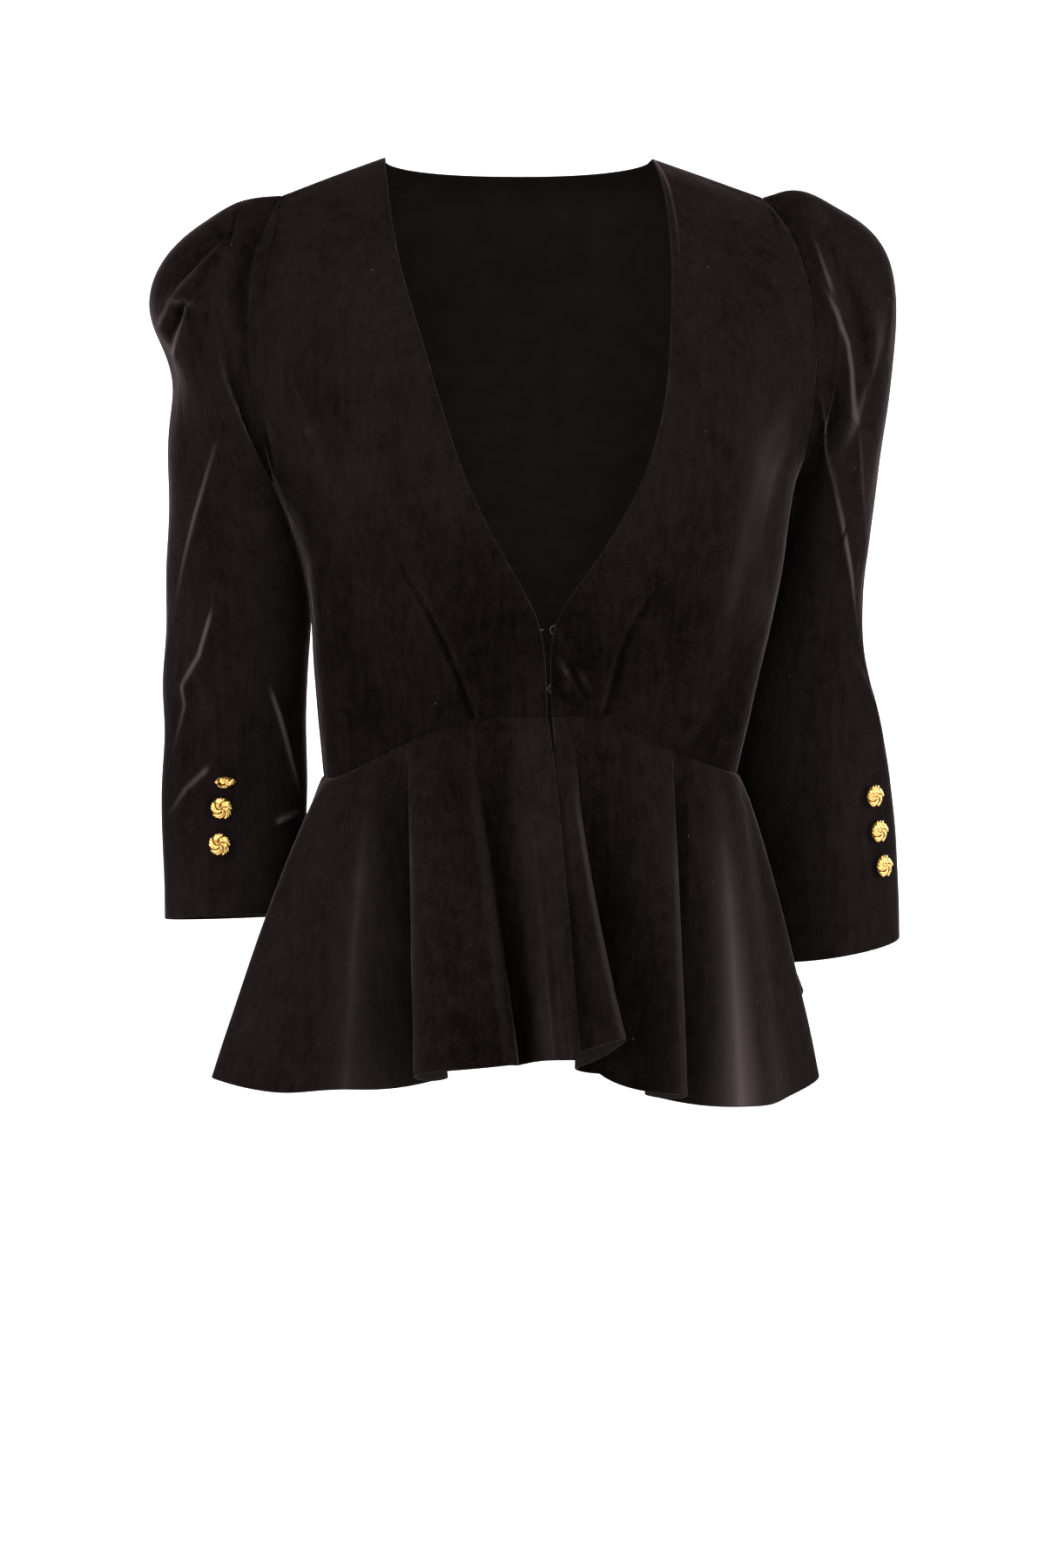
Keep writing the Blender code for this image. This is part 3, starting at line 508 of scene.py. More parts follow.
def back_grid(rows, columns):
    """Points of the back, right to left, dipped to the neckline, the way out, and zero painted light."""
    halves = []
    for side in SIDES:
        _, half, neck, arm = bodice_level(side, np.array([1.0]))
        neck_across = (angle_out(neck, half) / angle_out(arm, half))[0]
        within = round(columns * neck_across)
        across = np.concatenate(
            [np.linspace(0, neck_across, within + 1), np.linspace(neck_across, 1, columns - within + 1)[1:]]
        )
        scoop = NECK_DROP * np.sqrt(1 - np.clip(across / neck_across, 0, 1) ** 2)
        up = np.linspace(0, 1, rows)[:, None] * (1 - scoop)
        level = np.repeat(across[None], rows, axis=0)
        halves.append(back_point(side, level.ravel(), up.ravel()).reshape(rows, columns + 1, 3))
    grid = np.concatenate([halves[0][:, ::-1], halves[1][:, 1:]], axis=1)
    out = outward(grid, BODY_MIDDLE)
    wide, tall = np.linspace(0, 1, 2 * columns + 1), np.linspace(0, 1, rows)[:, None]
    free = (1 - nearing(np.maximum(wide, 1 - wide), SEAM_FREE)) * (1 - nearing(1 - tall, FOLD_FREE))
    free = free * (1 - nearing(tall, SEAM_FREE))
    lift = fold_lift(BODICE_FOLDS["back"], BEHIND, grid, out, BODICE_CREST)
    lift = (lift + uneven(grid, 0.06, 0.0008, 5.7)) * free
    grid = grid + out * lift[..., None]
    return grid, outward(grid, BODY_MIDDLE), np.zeros_like(lift)


back = cloth_shell("back_velvet", *back_grid(170, 84), ("first", "last", "start", "end"))
stands_for(back, "velvet", "back")
for side, cut, area in (("right", (0.206, 0.473), 0.066), ("left", (0.223, 0.469), 0.070)):
    front = cloth_shell(f"front_{side}_velvet", *front_grid(side, 180, 110), ("first", "last", "end"))
    stands_for(front, "velvet", f"front_{side}")

# Sleeves: two velvet pieces each, an upper sleeve eased into a puff at the armhole and an under sleeve.
# The front seam of the two ends in the vent that the cuff buttons are sewn beside; the hem is turned up.
Ring = namedtuple("Ring", "along inner_x inner_z outer_x outer_z belly mid_y half_depth")
RINGS = {
    "right": (
        Ring(0.10, 0.1725, -0.232, 0.203, -0.037, 0.020, 0.010, 0.076),
        Ring(0.22, 0.1622, -0.242, 0.238, -0.065, 0.010, 0.016, 0.086),
        Ring(0.32, 0.1564, -0.254, 0.246, -0.107, 0.006, 0.022, 0.081),
        Ring(0.42, 0.1502, -0.270, 0.240, -0.143, 0.008, 0.027, 0.075),
        Ring(0.55, 0.1424, -0.305, 0.240, -0.215, 0.003, 0.040, 0.065),
        Ring(0.75, 0.1455, -0.378, 0.2435, -0.360, 0.000, 0.050, 0.053),
        Ring(0.88, 0.1445, -0.443, 0.2445, -0.446, 0.000, 0.051, 0.049),
        Ring(1.00, 0.1500, -0.521, 0.2440, -0.522, 0.000, 0.048, 0.046),
    ),
    "left": (
        Ring(0.10, 0.1865, -0.232, 0.205, -0.029, 0.012, 0.010, 0.076),
        Ring(0.22, 0.1845, -0.242, 0.246, -0.053, 0.010, 0.012, 0.086),
        Ring(0.32, 0.1828, -0.254, 0.257, -0.090, 0.005, 0.016, 0.083),
        Ring(0.42, 0.1800, -0.270, 0.256, -0.145, 0.004, 0.021, 0.075),
        Ring(0.55, 0.1725, -0.305, 0.2485, -0.248, 0.002, 0.036, 0.065),
        Ring(0.75, 0.1560, -0.378, 0.250, -0.348, 0.000, 0.050, 0.053),
        Ring(0.88, 0.1610, -0.452, 0.271, -0.442, 0.000, 0.051, 0.049),
        Ring(1.00, 0.1760, -0.560, 0.277, -0.545, 0.000, 0.048, 0.046),
    ),
}
Seam = namedtuple("Seam", "at_armhole at_cuff")
VENT_SEAMS = {"right": Seam(0.19, 0.255), "left": Seam(0.165, 0.320)}
HIND_SEAM = Seam(0.84, 0.80)
# SLEEVE_SHINE scales the painted highlight on the sleeves' ridges and the painted shade in their valleys.
SLEEVE_CREST, SLEEVE_SHINE = 0.8, 0.87
ARM_MIDDLE, ARM_SHARE = np.array([0.2, 0.03, -0.3]), 0.65
# Painted shade darkens the puff round this turn of the sleeve, down to this place along it.
PUFF_SHADE = {"right": 0.45, "left": 0.2}
PUFF_TURN, PUFF_WIDTH, PUFF_END, PUFF_FADE = 0.42, 0.14, 0.34, 0.1
HEAD_KEPT, HEAD_FREE, SLEEVE_PASSES = 0.12, 0.08, 60
SLEEVE_FOLDS = {
    "right": (
        Fold(-7.0, 13, 13, ((-181, 40), (-202, 57), (-219, 78), (-238, 98))),
        Fold(4.5, 8, 9, ((-200, 58), (-206, 68), (-222, 90), (-235, 104), (-247, 120))),
        Fold(-5.0, 7, 7, ((-228, 106), (-230, 112), (-236, 122), (-241, 134))),
        Fold(
            2.6,
            3,
            7,
            ((-231, 105), (-224, 104), (-220, 108), (-223, 113), (-228, 123), (-233, 136), (-237, 150)),
        ),
        Fold(3.2, 14, 6, ((-203, 195), (-211, 217), (-220, 244), (-230, 278), (-240, 318))),
        Fold(2.8, 10, 5, ((-211, 306), (-213, 315), (-220, 338), (-232, 358), (-230, 371), (-240, 404))),
        Fold(2.2, 5, 5, ((-213, 412), (-218, 417), (-230, 428), (-245, 448))),
        Fold(4.0, 4, 7, ((-173, 360), (-169, 376), (-163, 401), (-154, 437))),
        Fold(2.8, 3, 4, ((-172, 452), (-165, 448), (-153, 442))),
    ),
    "left": (
        Fold(-4.5, 10, 10, ((203, 56), (216, 79), (226, 107), (231, 138), (234, 180))),
        Fold(3.4, 10, 6, ((198, 81), (210, 107), (218, 128), (221, 146), (223, 173), (228, 219), (235, 265))),
        Fold(3.0, 5, 10, ((197, 156), (200, 164), (205, 189), (212, 228), (224, 283), (237, 345))),
        Fold(1.6, 4, 4, ((196, 54), (198, 60), (205, 84), (208, 94))),
        Fold(3.0, 6, 6, ((232, 340), (246, 372), (254, 396))),
        Fold(-0.9, 3, 3, ((170, 530), (173, 529), (232, 527), (236, 526))),
    ),
}
HIND_SLEEVE_FOLDS = {
    "right": (
        Fold(-5.0, 12, 12, ((196, 60), (214, 90), (232, 118))),
        Fold(4.0, 10, 12, ((204, 130), (216, 190), (222, 260))),
        Fold(-3.0, 8, 8, ((166, 330), (190, 342), (216, 338))),
        Fold(2.5, 8, 8, ((168, 350), (192, 364), (218, 360))),
    ),
    "left": (
        Fold(-5.0, 12, 12, ((-200, 62), (-216, 96), (-230, 130))),
        Fold(4.0, 12, 10, ((-206, 150), (-222, 220), (-230, 300))),
        Fold(-3.0, 8, 8, ((-180, 356), (-206, 370), (-236, 362))),
        Fold(2.5, 8, 8, ((-184, 380), (-208, 392), (-240, 384))),
    ),
}


def by_length(points, shares):
    """Points at the given shares of the length of a polyline."""
    along = lengths(points)
    at = np.asarray(shares) * along[-1]
    return np.stack([np.interp(at, along, points[:, k]) for k in range(3)], axis=-1)


def armhole(side, turn):
    """The armhole's seam: turn 0 is under the arm, a half is the shoulder tip, reached up the front."""
    up = np.linspace(UNDERARM_UP, 1, 90)
    rising = by_length(front_point(side, np.ones_like(up), up), np.clip(turn * 2, 0, 1))
    falling = by_length(back_point(side, np.ones_like(up), up), np.clip(2 - turn * 2, 0, 1))
    return np.where((turn <= 0.5)[:, None], rising, falling)


# Waves of the sleeves' outer edge: where along the sleeve, how long, and how far out in millimetres.
# The first two of the right sleeve are the lip of its puff and the hollow under it.
Wave = namedtuple("Wave", "along length out")
EDGE_WAVES = {
    "right": (
        Wave(0.29, 0.065, 9.0),
        Wave(0.43, 0.040, -5.5),
        Wave(0.52, 0.028, 1.2),
        Wave(0.585, 0.028, -3.2),
        Wave(0.635, 0.028, 0.8),
        Wave(0.69, 0.028, -2.6),
        Wave(0.75, 0.028, 2.0),
        Wave(0.79, 0.028, -2.4),
        Wave(0.87, 0.028, 2.0),
    ),
    "left": (Wave(0.60, 0.028, -1.5), Wave(0.74, 0.028, -1.0), Wave(0.84, 0.028, 1.2)),
}
HEAD_RISE = {"right": 0.003, "left": 0.006}
HEAD_END = 0.13
CUFF_RISE = {"right": 0.0075, "left": 0.0}


def edge_waves(side, turn, along):
    """How far the outer edge waves out, and how far the gathered head and the front of the cuff rise."""
    edge = np.clip(-np.cos(2 * math.pi * turn), 0, 1)
    out = sum(w.out * math.exp(-(((along - w.along) / w.length) ** 2)) for w in EDGE_WAVES[side]) / 1000
    rise = HEAD_RISE[side] * math.sin(math.pi * min(1, along / HEAD_END))
    cuff = CUFF_RISE[side] * along**12 * np.sin(2 * math.pi * turn)
    return out * edge**6 * SIDES[side], rise * edge**2 + cuff


def sleeve_row(side, turn, along):
    """Points round a sleeve at one place along it, before its folds."""
    angle = 2 * math.pi * turn
    reach = (1 - np.cos(angle)) / 2
    controls = [armhole(side, turn % 1.0)]
    for ring in RINGS[side]:
        x = ring.inner_x + (ring.outer_x - ring.inner_x) * reach + ring.belly * np.sin(angle) ** 2
        y = ring.mid_y - ring.half_depth * np.sin(angle)
        z = ring.inner_z + (ring.outer_z - ring.inner_z) * reach
        controls.append(np.stack([SIDES[side] * x, y, z], axis=-1))
    keys = [0.0] + [ring.along for ring in RINGS[side]]
    row = smooth(keys, np.reshape(controls, (len(keys), -1)), [along]).reshape(-1, 3)
    out, rise = edge_waves(side, turn, along)
    return row + np.stack([out, 0 * out, rise], axis=-1)


def sleeve_grid(side, start, end, rows, columns):
    """Points of a sleeve between two seams with its folds, the way out, and the painted shade of its puff."""
    along = np.linspace(0, 1, rows) ** 1.1
    turns = [
        seam.at_armhole + (seam.at_cuff - seam.at_armhole) * along[:, None] + whole
        for seam, whole in (start, end)
    ]
    turns = turns[0] + (turns[1] - turns[0]) * np.linspace(0, 1, columns)
    wide = np.concatenate([2 * turns[:, :1] - turns[:, 1:2], turns, 2 * turns[:, -1:] - turns[:, -2:-1]], 1)
    grid = np.array([sleeve_row(side, turn, place) for turn, place in zip(wide, along)])
    grid = eased(grid, SLEEVE_PASSES, nearing(1 - along, HEAD_KEPT)[:, None])
    middle = grid.mean(axis=1, keepdims=True) * (1 - ARM_SHARE)
    middle = middle + ARM_MIDDLE * (SIDES[side], 1, 1) * ARM_SHARE
    out = outward(grid, middle)
    lift = fold_lift(SLEEVE_FOLDS[side], IN_FRONT, grid, out, SLEEVE_CREST)
    lift += fold_lift(HIND_SLEEVE_FOLDS[side], BEHIND, grid, out, BODICE_CREST)
    lift = (lift + uneven(grid, 0.045, 0.0007, 8.3)) * (1 - nearing(1 - along, HEAD_FREE))[:, None]
    grid = grid + out * lift[..., None]
    out = outward(grid, middle)
    # Painted shade on the puff.
    puff_shade = np.exp(-(((turns - PUFF_TURN) / PUFF_WIDTH) ** 2))
    puff_shade = puff_shade * np.clip((PUFF_END - along[:, None]) / PUFF_FADE, 0, 1)
    return grid[:, 1:-1], out[:, 1:-1], -PUFF_SHADE[side] * puff_shade


SLEEVE_CUTS = {
    ("upper", "right"): ((0.363, 0.557), 0.096),
    ("upper", "left"): ((0.383, 0.588), 0.101),
    ("under", "right"): ((0.214, 0.374), 0.046),
    ("under", "left"): ((0.216, 0.420), 0.056),
}
for side in SIDES:
    vent, hind = VENT_SEAMS[side], HIND_SEAM
    pieces = {"upper": ((vent, 0), (hind, 0), 190), "under": ((hind, 0), (vent, 1), 110)}
    for name, (start, end, columns) in pieces.items():
        shown = cloth_shell(
            f"{name}_sleeve_{side}_velvet",
            *sleeve_grid(side, start, end, 240, columns),
            ("first", "start", "end"),
            SLEEVE_SHINE,
        )
        stands_for(shown, "velvet", f"{name}_sleeve_{side}")
        flat, area = SLEEVE_CUTS[name, side]

# Peplum: three circular-cut velvet panels sewn to the waist seam, which fall in deep flutes.
# It is open down the front, where the right side laps a little over the left; the hem is turned up.
# Its hem seen from above: places 0 to 1 are the right front, 1 to 2 the back and 2 to 3 the left front.
Flute = namedtuple("Flute", "place x y")
HEM = (
    Flute(0.00, 0.012, -0.166),
    Flute(0.07, -0.012, -0.172),
    Flute(0.16, -0.024, -0.151),
    Flute(0.29, -0.040, -0.168),
    Flute(0.41, -0.099, -0.165),
    Flute(0.49, -0.070, -0.108),
    Flute(0.63, -0.142, -0.135),
    Flute(0.77, -0.182, -0.105),
    Flute(0.90, -0.221, -0.050),
    Flute(1.00, -0.186, -0.004),
    Flute(1.08, -0.143, 0.044),
    Flute(1.17, -0.186, 0.122),
    Flute(1.25, -0.116, 0.110),
    Flute(1.34, -0.104, 0.166),
    Flute(1.42, -0.048, 0.126),
    Flute(1.50, -0.004, 0.180),
    Flute(1.58, 0.044, 0.124),
    Flute(1.67, 0.098, 0.164),
    Flute(1.76, 0.116, 0.104),
    Flute(1.84, 0.226, 0.132),
    Flute(1.93, 0.156, 0.050),
    Flute(2.00, 0.180, 0.004),
    Flute(2.08, 0.203, -0.024),
    Flute(2.20, 0.174, -0.066),
    Flute(2.40, 0.130, -0.120),
    Flute(2.56, 0.068, -0.098),
    Flute(2.65, 0.085, -0.151),
    Flute(2.87, 0.019, -0.118),
    Flute(2.94, 0.041, -0.168),
    Flute(3.00, 0.004, -0.148),
)
Drop = namedtuple("Drop", "place length")
DROPS = (
    Drop(0.00, 0.229),
    Drop(0.29, 0.230),
    Drop(0.41, 0.226),
    Drop(0.50, 0.224),
    Drop(0.77, 0.220),
    Drop(1.00, 0.216),
    Drop(1.50, 0.222),
    Drop(2.00, 0.217),
    Drop(2.30, 0.228),
    Drop(2.65, 0.233),
    Drop(2.87, 0.234),
    Drop(2.94, 0.218),
    Drop(3.00, 0.224),
)
FLARE, FLARE_RISE = 0.050, 0.75
PEPLUM_MIDDLE = np.array([0, 0, -0.5])
PEPLUM_ROWS = 96
Rise = namedtuple("Rise", "place power")
FLUTE_RISE = (Rise(0.00, 0.85), Rise(2.65, 0.90), Rise(2.80, 1.10), Rise(2.94, 1.60), Rise(3.00, 1.60))
# Where on the waist seam each place of the hem hangs from: the sides of a flute meet at its top.
Hang = namedtuple("Hang", "place waist")
HANGS = (
    Hang(0.00, 0.00),
    Hang(0.16, 0.19),
    Hang(0.29, 0.26),
    Hang(0.41, 0.42),
    Hang(0.49, 0.445),
    Hang(0.63, 0.60),
    Hang(0.77, 0.77),
    Hang(2.20, 2.20),
    Hang(2.40, 2.42),
    Hang(2.56, 2.625),
    Hang(2.65, 2.655),
    Hang(2.87, 2.945),
    Hang(2.94, 2.968),
    Hang(3.00, 3.00),
)
# Where the flutes get a band of painted highlight, or of painted shade below 0, and how strongly at the hem.
Brush = namedtuple("Brush", "place width strength")
PAINTED_BANDS = (
    Brush(0.020, 0.005, 0.45),
    Brush(0.034, 0.005, 0.45),
    Brush(0.055, 0.006, 0.40),
    Brush(0.120, 0.040, -0.5),
    Brush(0.26, 0.19, -0.5),
    Brush(0.60, 0.05, 0.35),
    Brush(2.25, 0.12, 0.38),
    Brush(2.41, 0.055, 0.55),
    Brush(2.53, 0.04, -0.9),
    Brush(2.80, 0.13, -0.6),
)
# The painted bands keep this share of their strength at the waist.
WAIST_PAINTED_SHARE = 0.4
# Painted highlight on the flutes' ridges and painted shade in their valleys grow down to a third
# of their length, and are even below.
FLUTE_SHINE = np.linspace(0, 1.8, PEPLUM_ROWS).clip(0, 0.62)[:, None]


def waist_line():
    """The waist seam as a fine line of places and points, from the right front edge round to the left."""
    across, low = np.linspace(0, 1, 200), np.zeros(200)
    right, left = front_point("right", across, low), front_point("left", across, low)[::-1]
    behind = np.concatenate([back_point("right", across, low)[::-1], back_point("left", across, low)[1:]])
    places = np.concatenate([across, np.linspace(1, 2, 399)[1:], 2 + across[1:]])
    return places, np.concatenate([right, behind[1:], left[1:]])


WAIST = waist_line()


def waist_point(place):
    """Points of the waist seam."""
    return np.stack([np.interp(place, WAIST[0], WAIST[1][:, k]) for k in range(3)], axis=-1)


def peplum_grid(first, last, columns):
    """Points of a panel of the peplum, the way out, and its bands of painted highlight and shade."""
    fine = np.linspace(first, last, 1500)
    run = lengths(table_at(HEM, fine))
    place = np.interp(np.linspace(0, run[-1], columns), run, fine)
    hangs = table_at(HANGS, place)[:, 0]
    top, hem = waist_point(hangs), table_at(HEM, place)
    run = waist_point(np.clip(hangs + 0.05, 0, 3)) - waist_point(np.clip(hangs - 0.05, 0, 3))
    outside = np.stack([-run[:, 1], run[:, 0]], axis=-1)
    flared = top[:, :2] + outside / np.linalg.norm(outside, axis=1, keepdims=True) * FLARE
    length = table_at(DROPS, place)[:, 0]
    fall = np.sqrt(length**2 - ((hem - top[:, :2]) ** 2).sum(axis=1))
    late = np.interp(place, *np.transpose(FLUTE_RISE))[:, None]
    grid = []
    for down in np.linspace(0, 1, PEPLUM_ROWS):
        plan = top[:, :2] + (flared - top[:, :2]) * down**FLARE_RISE + (hem - flared) * down**late
        grid.append(np.concatenate([plan, (top[:, 2] - fall * down)[:, None]], axis=1))
    grid = np.array(grid)
    out = outward(grid, PEPLUM_MIDDLE)
    low = np.linspace(0, 1, PEPLUM_ROWS)[:, None]
    grid = grid + out * (uneven(grid, 0.05, 0.0006, 12.9) * low)[..., None]
    # The painted bands of highlight and shade.
    brushed_and_painted_light = sum(b.strength * np.exp(-(((place - b.place) / b.width) ** 2)) for b in PAINTED_BANDS)
    brushed_and_painted_light = brushed_and_painted_light * (WAIST_PAINTED_SHARE + (1 - WAIST_PAINTED_SHARE) * low)
    return grid, outward(grid, PEPLUM_MIDDLE), brushed_and_painted_light


for panel, first, last, columns, sewn, flat, area in (
    ("front_right", 0, 1, 230, ("first", "end"), (0.469, 0.230), 0.075),
    ("back", 1, 2, 330, ("first", "start", "end"), (0.957, 0.222), 0.143),
    ("front_left", 2, 3, 230, ("first", "start"), (0.488, 0.239), 0.077),
):
    drawn = peplum_grid(first, last, columns)
    shown = cloth_shell(f"peplum_{panel}_velvet", *drawn, sewn, FLUTE_SHINE)
    stands_for(shown, "velvet", f"peplum_{panel}")

# Cuff buttons: three to a vent, each a gilt metal dome cast as a woven knot, sewn on by a shank behind.
# Five bundles of three strands wind in from the rim, and each bundle dives under the next at the middle.
# The top one on the right hangs by its thread.
Button = namedtuple("Button", "turn along droop")
BUTTONS = {
    "right": (Button(0.282, 0.838, 62.0), Button(0.291, 0.874, 8.0), Button(0.294, 0.916, 0.0)),
    "left": (Button(0.347, 0.875, 6.0), Button(0.350, 0.906, 4.0), Button(0.358, 0.935, 0.0)),
}
BUTTON_RADIUS, DOME_HEIGHT, RIM_HEIGHT = 0.0074, 0.0042, 0.0010
SHANK_RADIUS, SHANK_LENGTH = 0.0018, 0.0026
DOME_SUNK = 0.0006
BUNDLES, BUNDLE_STRANDS, STRAND_RADIUS = 5, 3, 0.00098
STRAND_APART, STRAND_WINDS = math.radians(17.5), math.radians(105)


def ringed(rings, sides):
    """Faces between rings of points, each with the same number of sides, closed at both ends."""
    faces = [tuple(range(sides))[::-1], tuple(range((rings - 1) * sides, rings * sides))]
    for k in range(rings - 1):
        for i in range(sides):
            a, b = k * sides + i, k * sides + (i + 1) % sides
            faces.append((a, b, b + sides, a + sides))
    return faces


def tube(path, radii, sides):
    """Points and faces of a round tube along a path, closed at its ends."""
    path = np.asarray(path, float)
    radii = np.broadcast_to(radii, len(path))
    ahead = np.gradient(path, axis=0)
    ahead /= np.linalg.norm(ahead, axis=1, keepdims=True)
    side = np.cross(ahead[0], np.eye(3)[np.abs(ahead[0]).argmin()])
    points = []
    for k, (centre, way) in enumerate(zip(path, ahead)):
        side = side - way * (side @ way)
        side /= np.linalg.norm(side)
        for turn in np.arange(sides) * 2 * math.pi / sides:
            points.append(centre + radii[k] * (side * math.cos(turn) + np.cross(way, side) * math.sin(turn)))
    return points, ringed(len(path), sides)


def solid_mesh(name, parts, finish):
    """One smooth mesh of several parts, each points and faces, faced outward."""
    points, faces = [], []
    for corners, sides in parts:
        faces += [tuple(i + len(points) for i in side) for side in sides]
        points += [tuple(corner) for corner in corners]
    mesh = bpy.data.meshes.new(name)
    mesh.from_pydata(points, [], faces)
    faced_outward(mesh)
    mesh.materials.append(finish)
    return mesh


def gilt_finish():
    """Polished gilt, mottled with a little wear; painted shade darkens the dome between the strands."""
    made, shade, shader, place = new_finish("gilt_knot", Metallic=1.0)
    wear = mottle(shade, place, 900, 3)
    colour = wear.mix((0.30, 0.15, 0.03, 1), (0.88, 0.58, 0.20, 1))
    bump = shade.add("ShaderNodeBump", {}, {"Strength": 0.25, "Distance": 0.0002, "Height": wear})
    feed(shader, Base_Color=colour, Roughness=0.10 + wear * 0.18, Normal=bump)
    return made


def knot_bundle():
    """One bundle of strands on the dome, from the rim to the middle."""
    parts = []
    share = np.linspace(0, 1, 22)
    for strand in range(BUNDLE_STRANDS):
        reach = BUTTON_RADIUS * (0.96 - 0.86 * share)
        turn = STRAND_APART * strand * (1 - 0.2 * share) + STRAND_WINDS * share**1.15
        crown = np.sqrt(1 - (reach / BUTTON_RADIUS) ** 2)
        dive = 0.0012 * share**2 + 0.00045 * strand
        height = SHANK_LENGTH + RIM_HEIGHT + (DOME_HEIGHT - RIM_HEIGHT) * crown - dive
        path = np.stack([reach * np.cos(turn), reach * np.sin(turn), height], axis=-1)
        parts.append(tube(path, STRAND_RADIUS * (1 - 0.35 * share), 10))
    return parts


def button_body():
    """The dome under the strands, its rim and flat back, and the shank."""
    sides, rim = 40, SHANK_LENGTH + RIM_HEIGHT
    crown = DOME_HEIGHT - RIM_HEIGHT - DOME_SUNK
    profile = [
        (SHANK_RADIUS, 0.0),
        (SHANK_RADIUS, SHANK_LENGTH),
        (0.93 * BUTTON_RADIUS, SHANK_LENGTH),
        (BUTTON_RADIUS, SHANK_LENGTH + RIM_HEIGHT / 2),
        (0.97 * BUTTON_RADIUS, rim),
    ]
    profile += [(share * BUTTON_RADIUS, rim + crown * math.sqrt(1 - share**2)) for share in (0.85, 0.65, 0.4)]
    turns = np.arange(sides) * 2 * math.pi / sides
    points = [(r * math.cos(turn), r * math.sin(turn), z) for r, z in profile for turn in turns]
    return points, ringed(len(profile), sides)


def around(bundle, count, finish):
    """The bundle repeated round the button by Geometry Nodes, as a plain mesh."""
    nodes = bpy.data.node_groups.new("woven_knot", "GeometryNodeTree")
    for name, way, kind in (
        ("Bundle", "INPUT", "Object"),
        ("Count", "INPUT", "Int"),
        ("Geometry", "OUTPUT", "Geometry"),
    ):
        nodes.interface.new_socket(name, in_out=way, socket_type=f"NodeSocket{kind}")
    given, graph = nodes.nodes.new("NodeGroupInput").outputs, Shade(nodes)
    one, number = Shade(nodes, given["Bundle"]), Shade(nodes, given["Count"])
    turn = graph.math("DIVIDE", graph.add("GeometryNodeInputIndex"), number) * (2 * math.pi)
    spots = {
        "Points": graph.add("GeometryNodePoints", {}, {"Count": number}),
        "Instance": graph.add("GeometryNodeObjectInfo", {}, {"Object": one}, "Geometry"),
        "Rotation": graph.add("FunctionNodeAxisAngleToRotation", {}, {"Angle": turn}),
    }
    spread = graph.add("GeometryNodeInstanceOnPoints", {}, spots)
    real = graph.add("GeometryNodeRealizeInstances", {}, {0: spread})
    dressed = graph.add("GeometryNodeSetMaterial", {}, {"Geometry": real, "Material": finish})
    nodes.links.new(dressed.socket, nodes.nodes.new("NodeGroupOutput").inputs[0])
    holder, one = placed("knot_holder", bpy.data.meshes.new("knot_holder")), placed("knot_bundle", bundle)
    modifier = holder.modifiers.new("knot", "NODES")
    modifier.node_group = nodes
    for socket in nodes.interface.items_tree:
        if socket.in_out == "INPUT":
            modifier[socket.identifier] = {"Bundle": one, "Count": count}[socket.name]
    seen = bpy.context.evaluated_depsgraph_get()
    seen.update()
    made = bpy.data.meshes.new_from_object(holder.evaluated_get(seen), depsgraph=seen)
    bpy.data.objects.remove(holder)
    bpy.data.objects.remove(one)
    return made


def shadow_finish():
    """Painted shade for the dome between the strands: dark gilt, mottled."""
    made, shade, shader, place = new_finish("gilt_hollow", Metallic=1.0)
    painted_shade_mottle = mottle(shade, place, 600, 3)
    feed(
        shader,
        Base_Color=painted_shade_mottle.mix((0.025, 0.012, 0.002, 1), (0.16, 0.085, 0.02, 1)),
        Roughness=0.35 + painted_shade_mottle * 0.25,
    )
    return made


gilt, painted_shade_gilt = gilt_finish(), shadow_finish()
knot = around(solid_mesh("knot_bundle", knot_bundle(), gilt), BUNDLES, gilt)
shape = bmesh.new()
shape.from_mesh(knot)
strands = len(shape.faces)
# The dome under the strands takes the painted shade.
shape.from_mesh(solid_mesh("button_body", [button_body()], painted_shade_gilt))
shape.faces.ensure_lookup_table()
for face in shape.faces[strands:]:
    face.material_index = 1
shape.to_mesh(knot)
shape.free()
knot.materials.append(painted_shade_gilt)
knot.polygons.foreach_set("use_smooth", [True] * len(knot.polygons))
for side, places in BUTTONS.items():
    sleeve = bpy.data.objects[f"upper_sleeve_{side}_velvet"].data
    cloth = BVHTree.FromPolygons([v.co for v in sleeve.vertices], [f.vertices for f in sleeve.polygons])
    for number, place in enumerate(places, start=1):
        here = sleeve_row(side, np.array([place.turn, place.turn + 0.002]), place.along)
        below = sleeve_row(side, np.array([place.turn]), place.along + 0.002)
        out = Vector(np.cross(below[0] - here[0], here[1] - here[0]) * SIDES[side]).normalized()
        foot = cloth.ray_cast(Vector(here[0]) + out * 0.02, -out)[0]
        droop = math.radians(place.droop)
        facing = Matrix.Rotation(droop, 3, out.cross(Vector((0, 0, -1)))) @ out
        rim = BUTTON_RADIUS * math.sin(droop) - (SHANK_LENGTH + RIM_HEIGHT) * math.cos(droop)
        lift = max(SHANK_RADIUS * math.sin(droop), rim)
        mesh = knot.copy()
        mesh.name = f"button_{side}_{number}_gilt"
        turned = facing.to_track_quat("Z", "Y").to_matrix().to_4x4()
        mesh.transform(Matrix.Translation(foot + out * lift) @ turned)
        stands_for(placed(mesh.name, mesh), "gilt", f"button_{side}_{number}")

# Hooks and eyes: two pairs of black japanned wire behind the front edges, hooks on the right front and
# eyes on the left, each sewn down with black thread through its end loops.
HOOK_LEVELS = {"upper": 0.158, "lower": 0.050}
WIRE_RADIUS, HOOK_REACH, HOOK_LOOP = 0.0006, 0.0050, 0.0020
WIRE_GAP, THREAD_RADIUS, THREAD_TURNS = 0.0003, 0.00016, 5


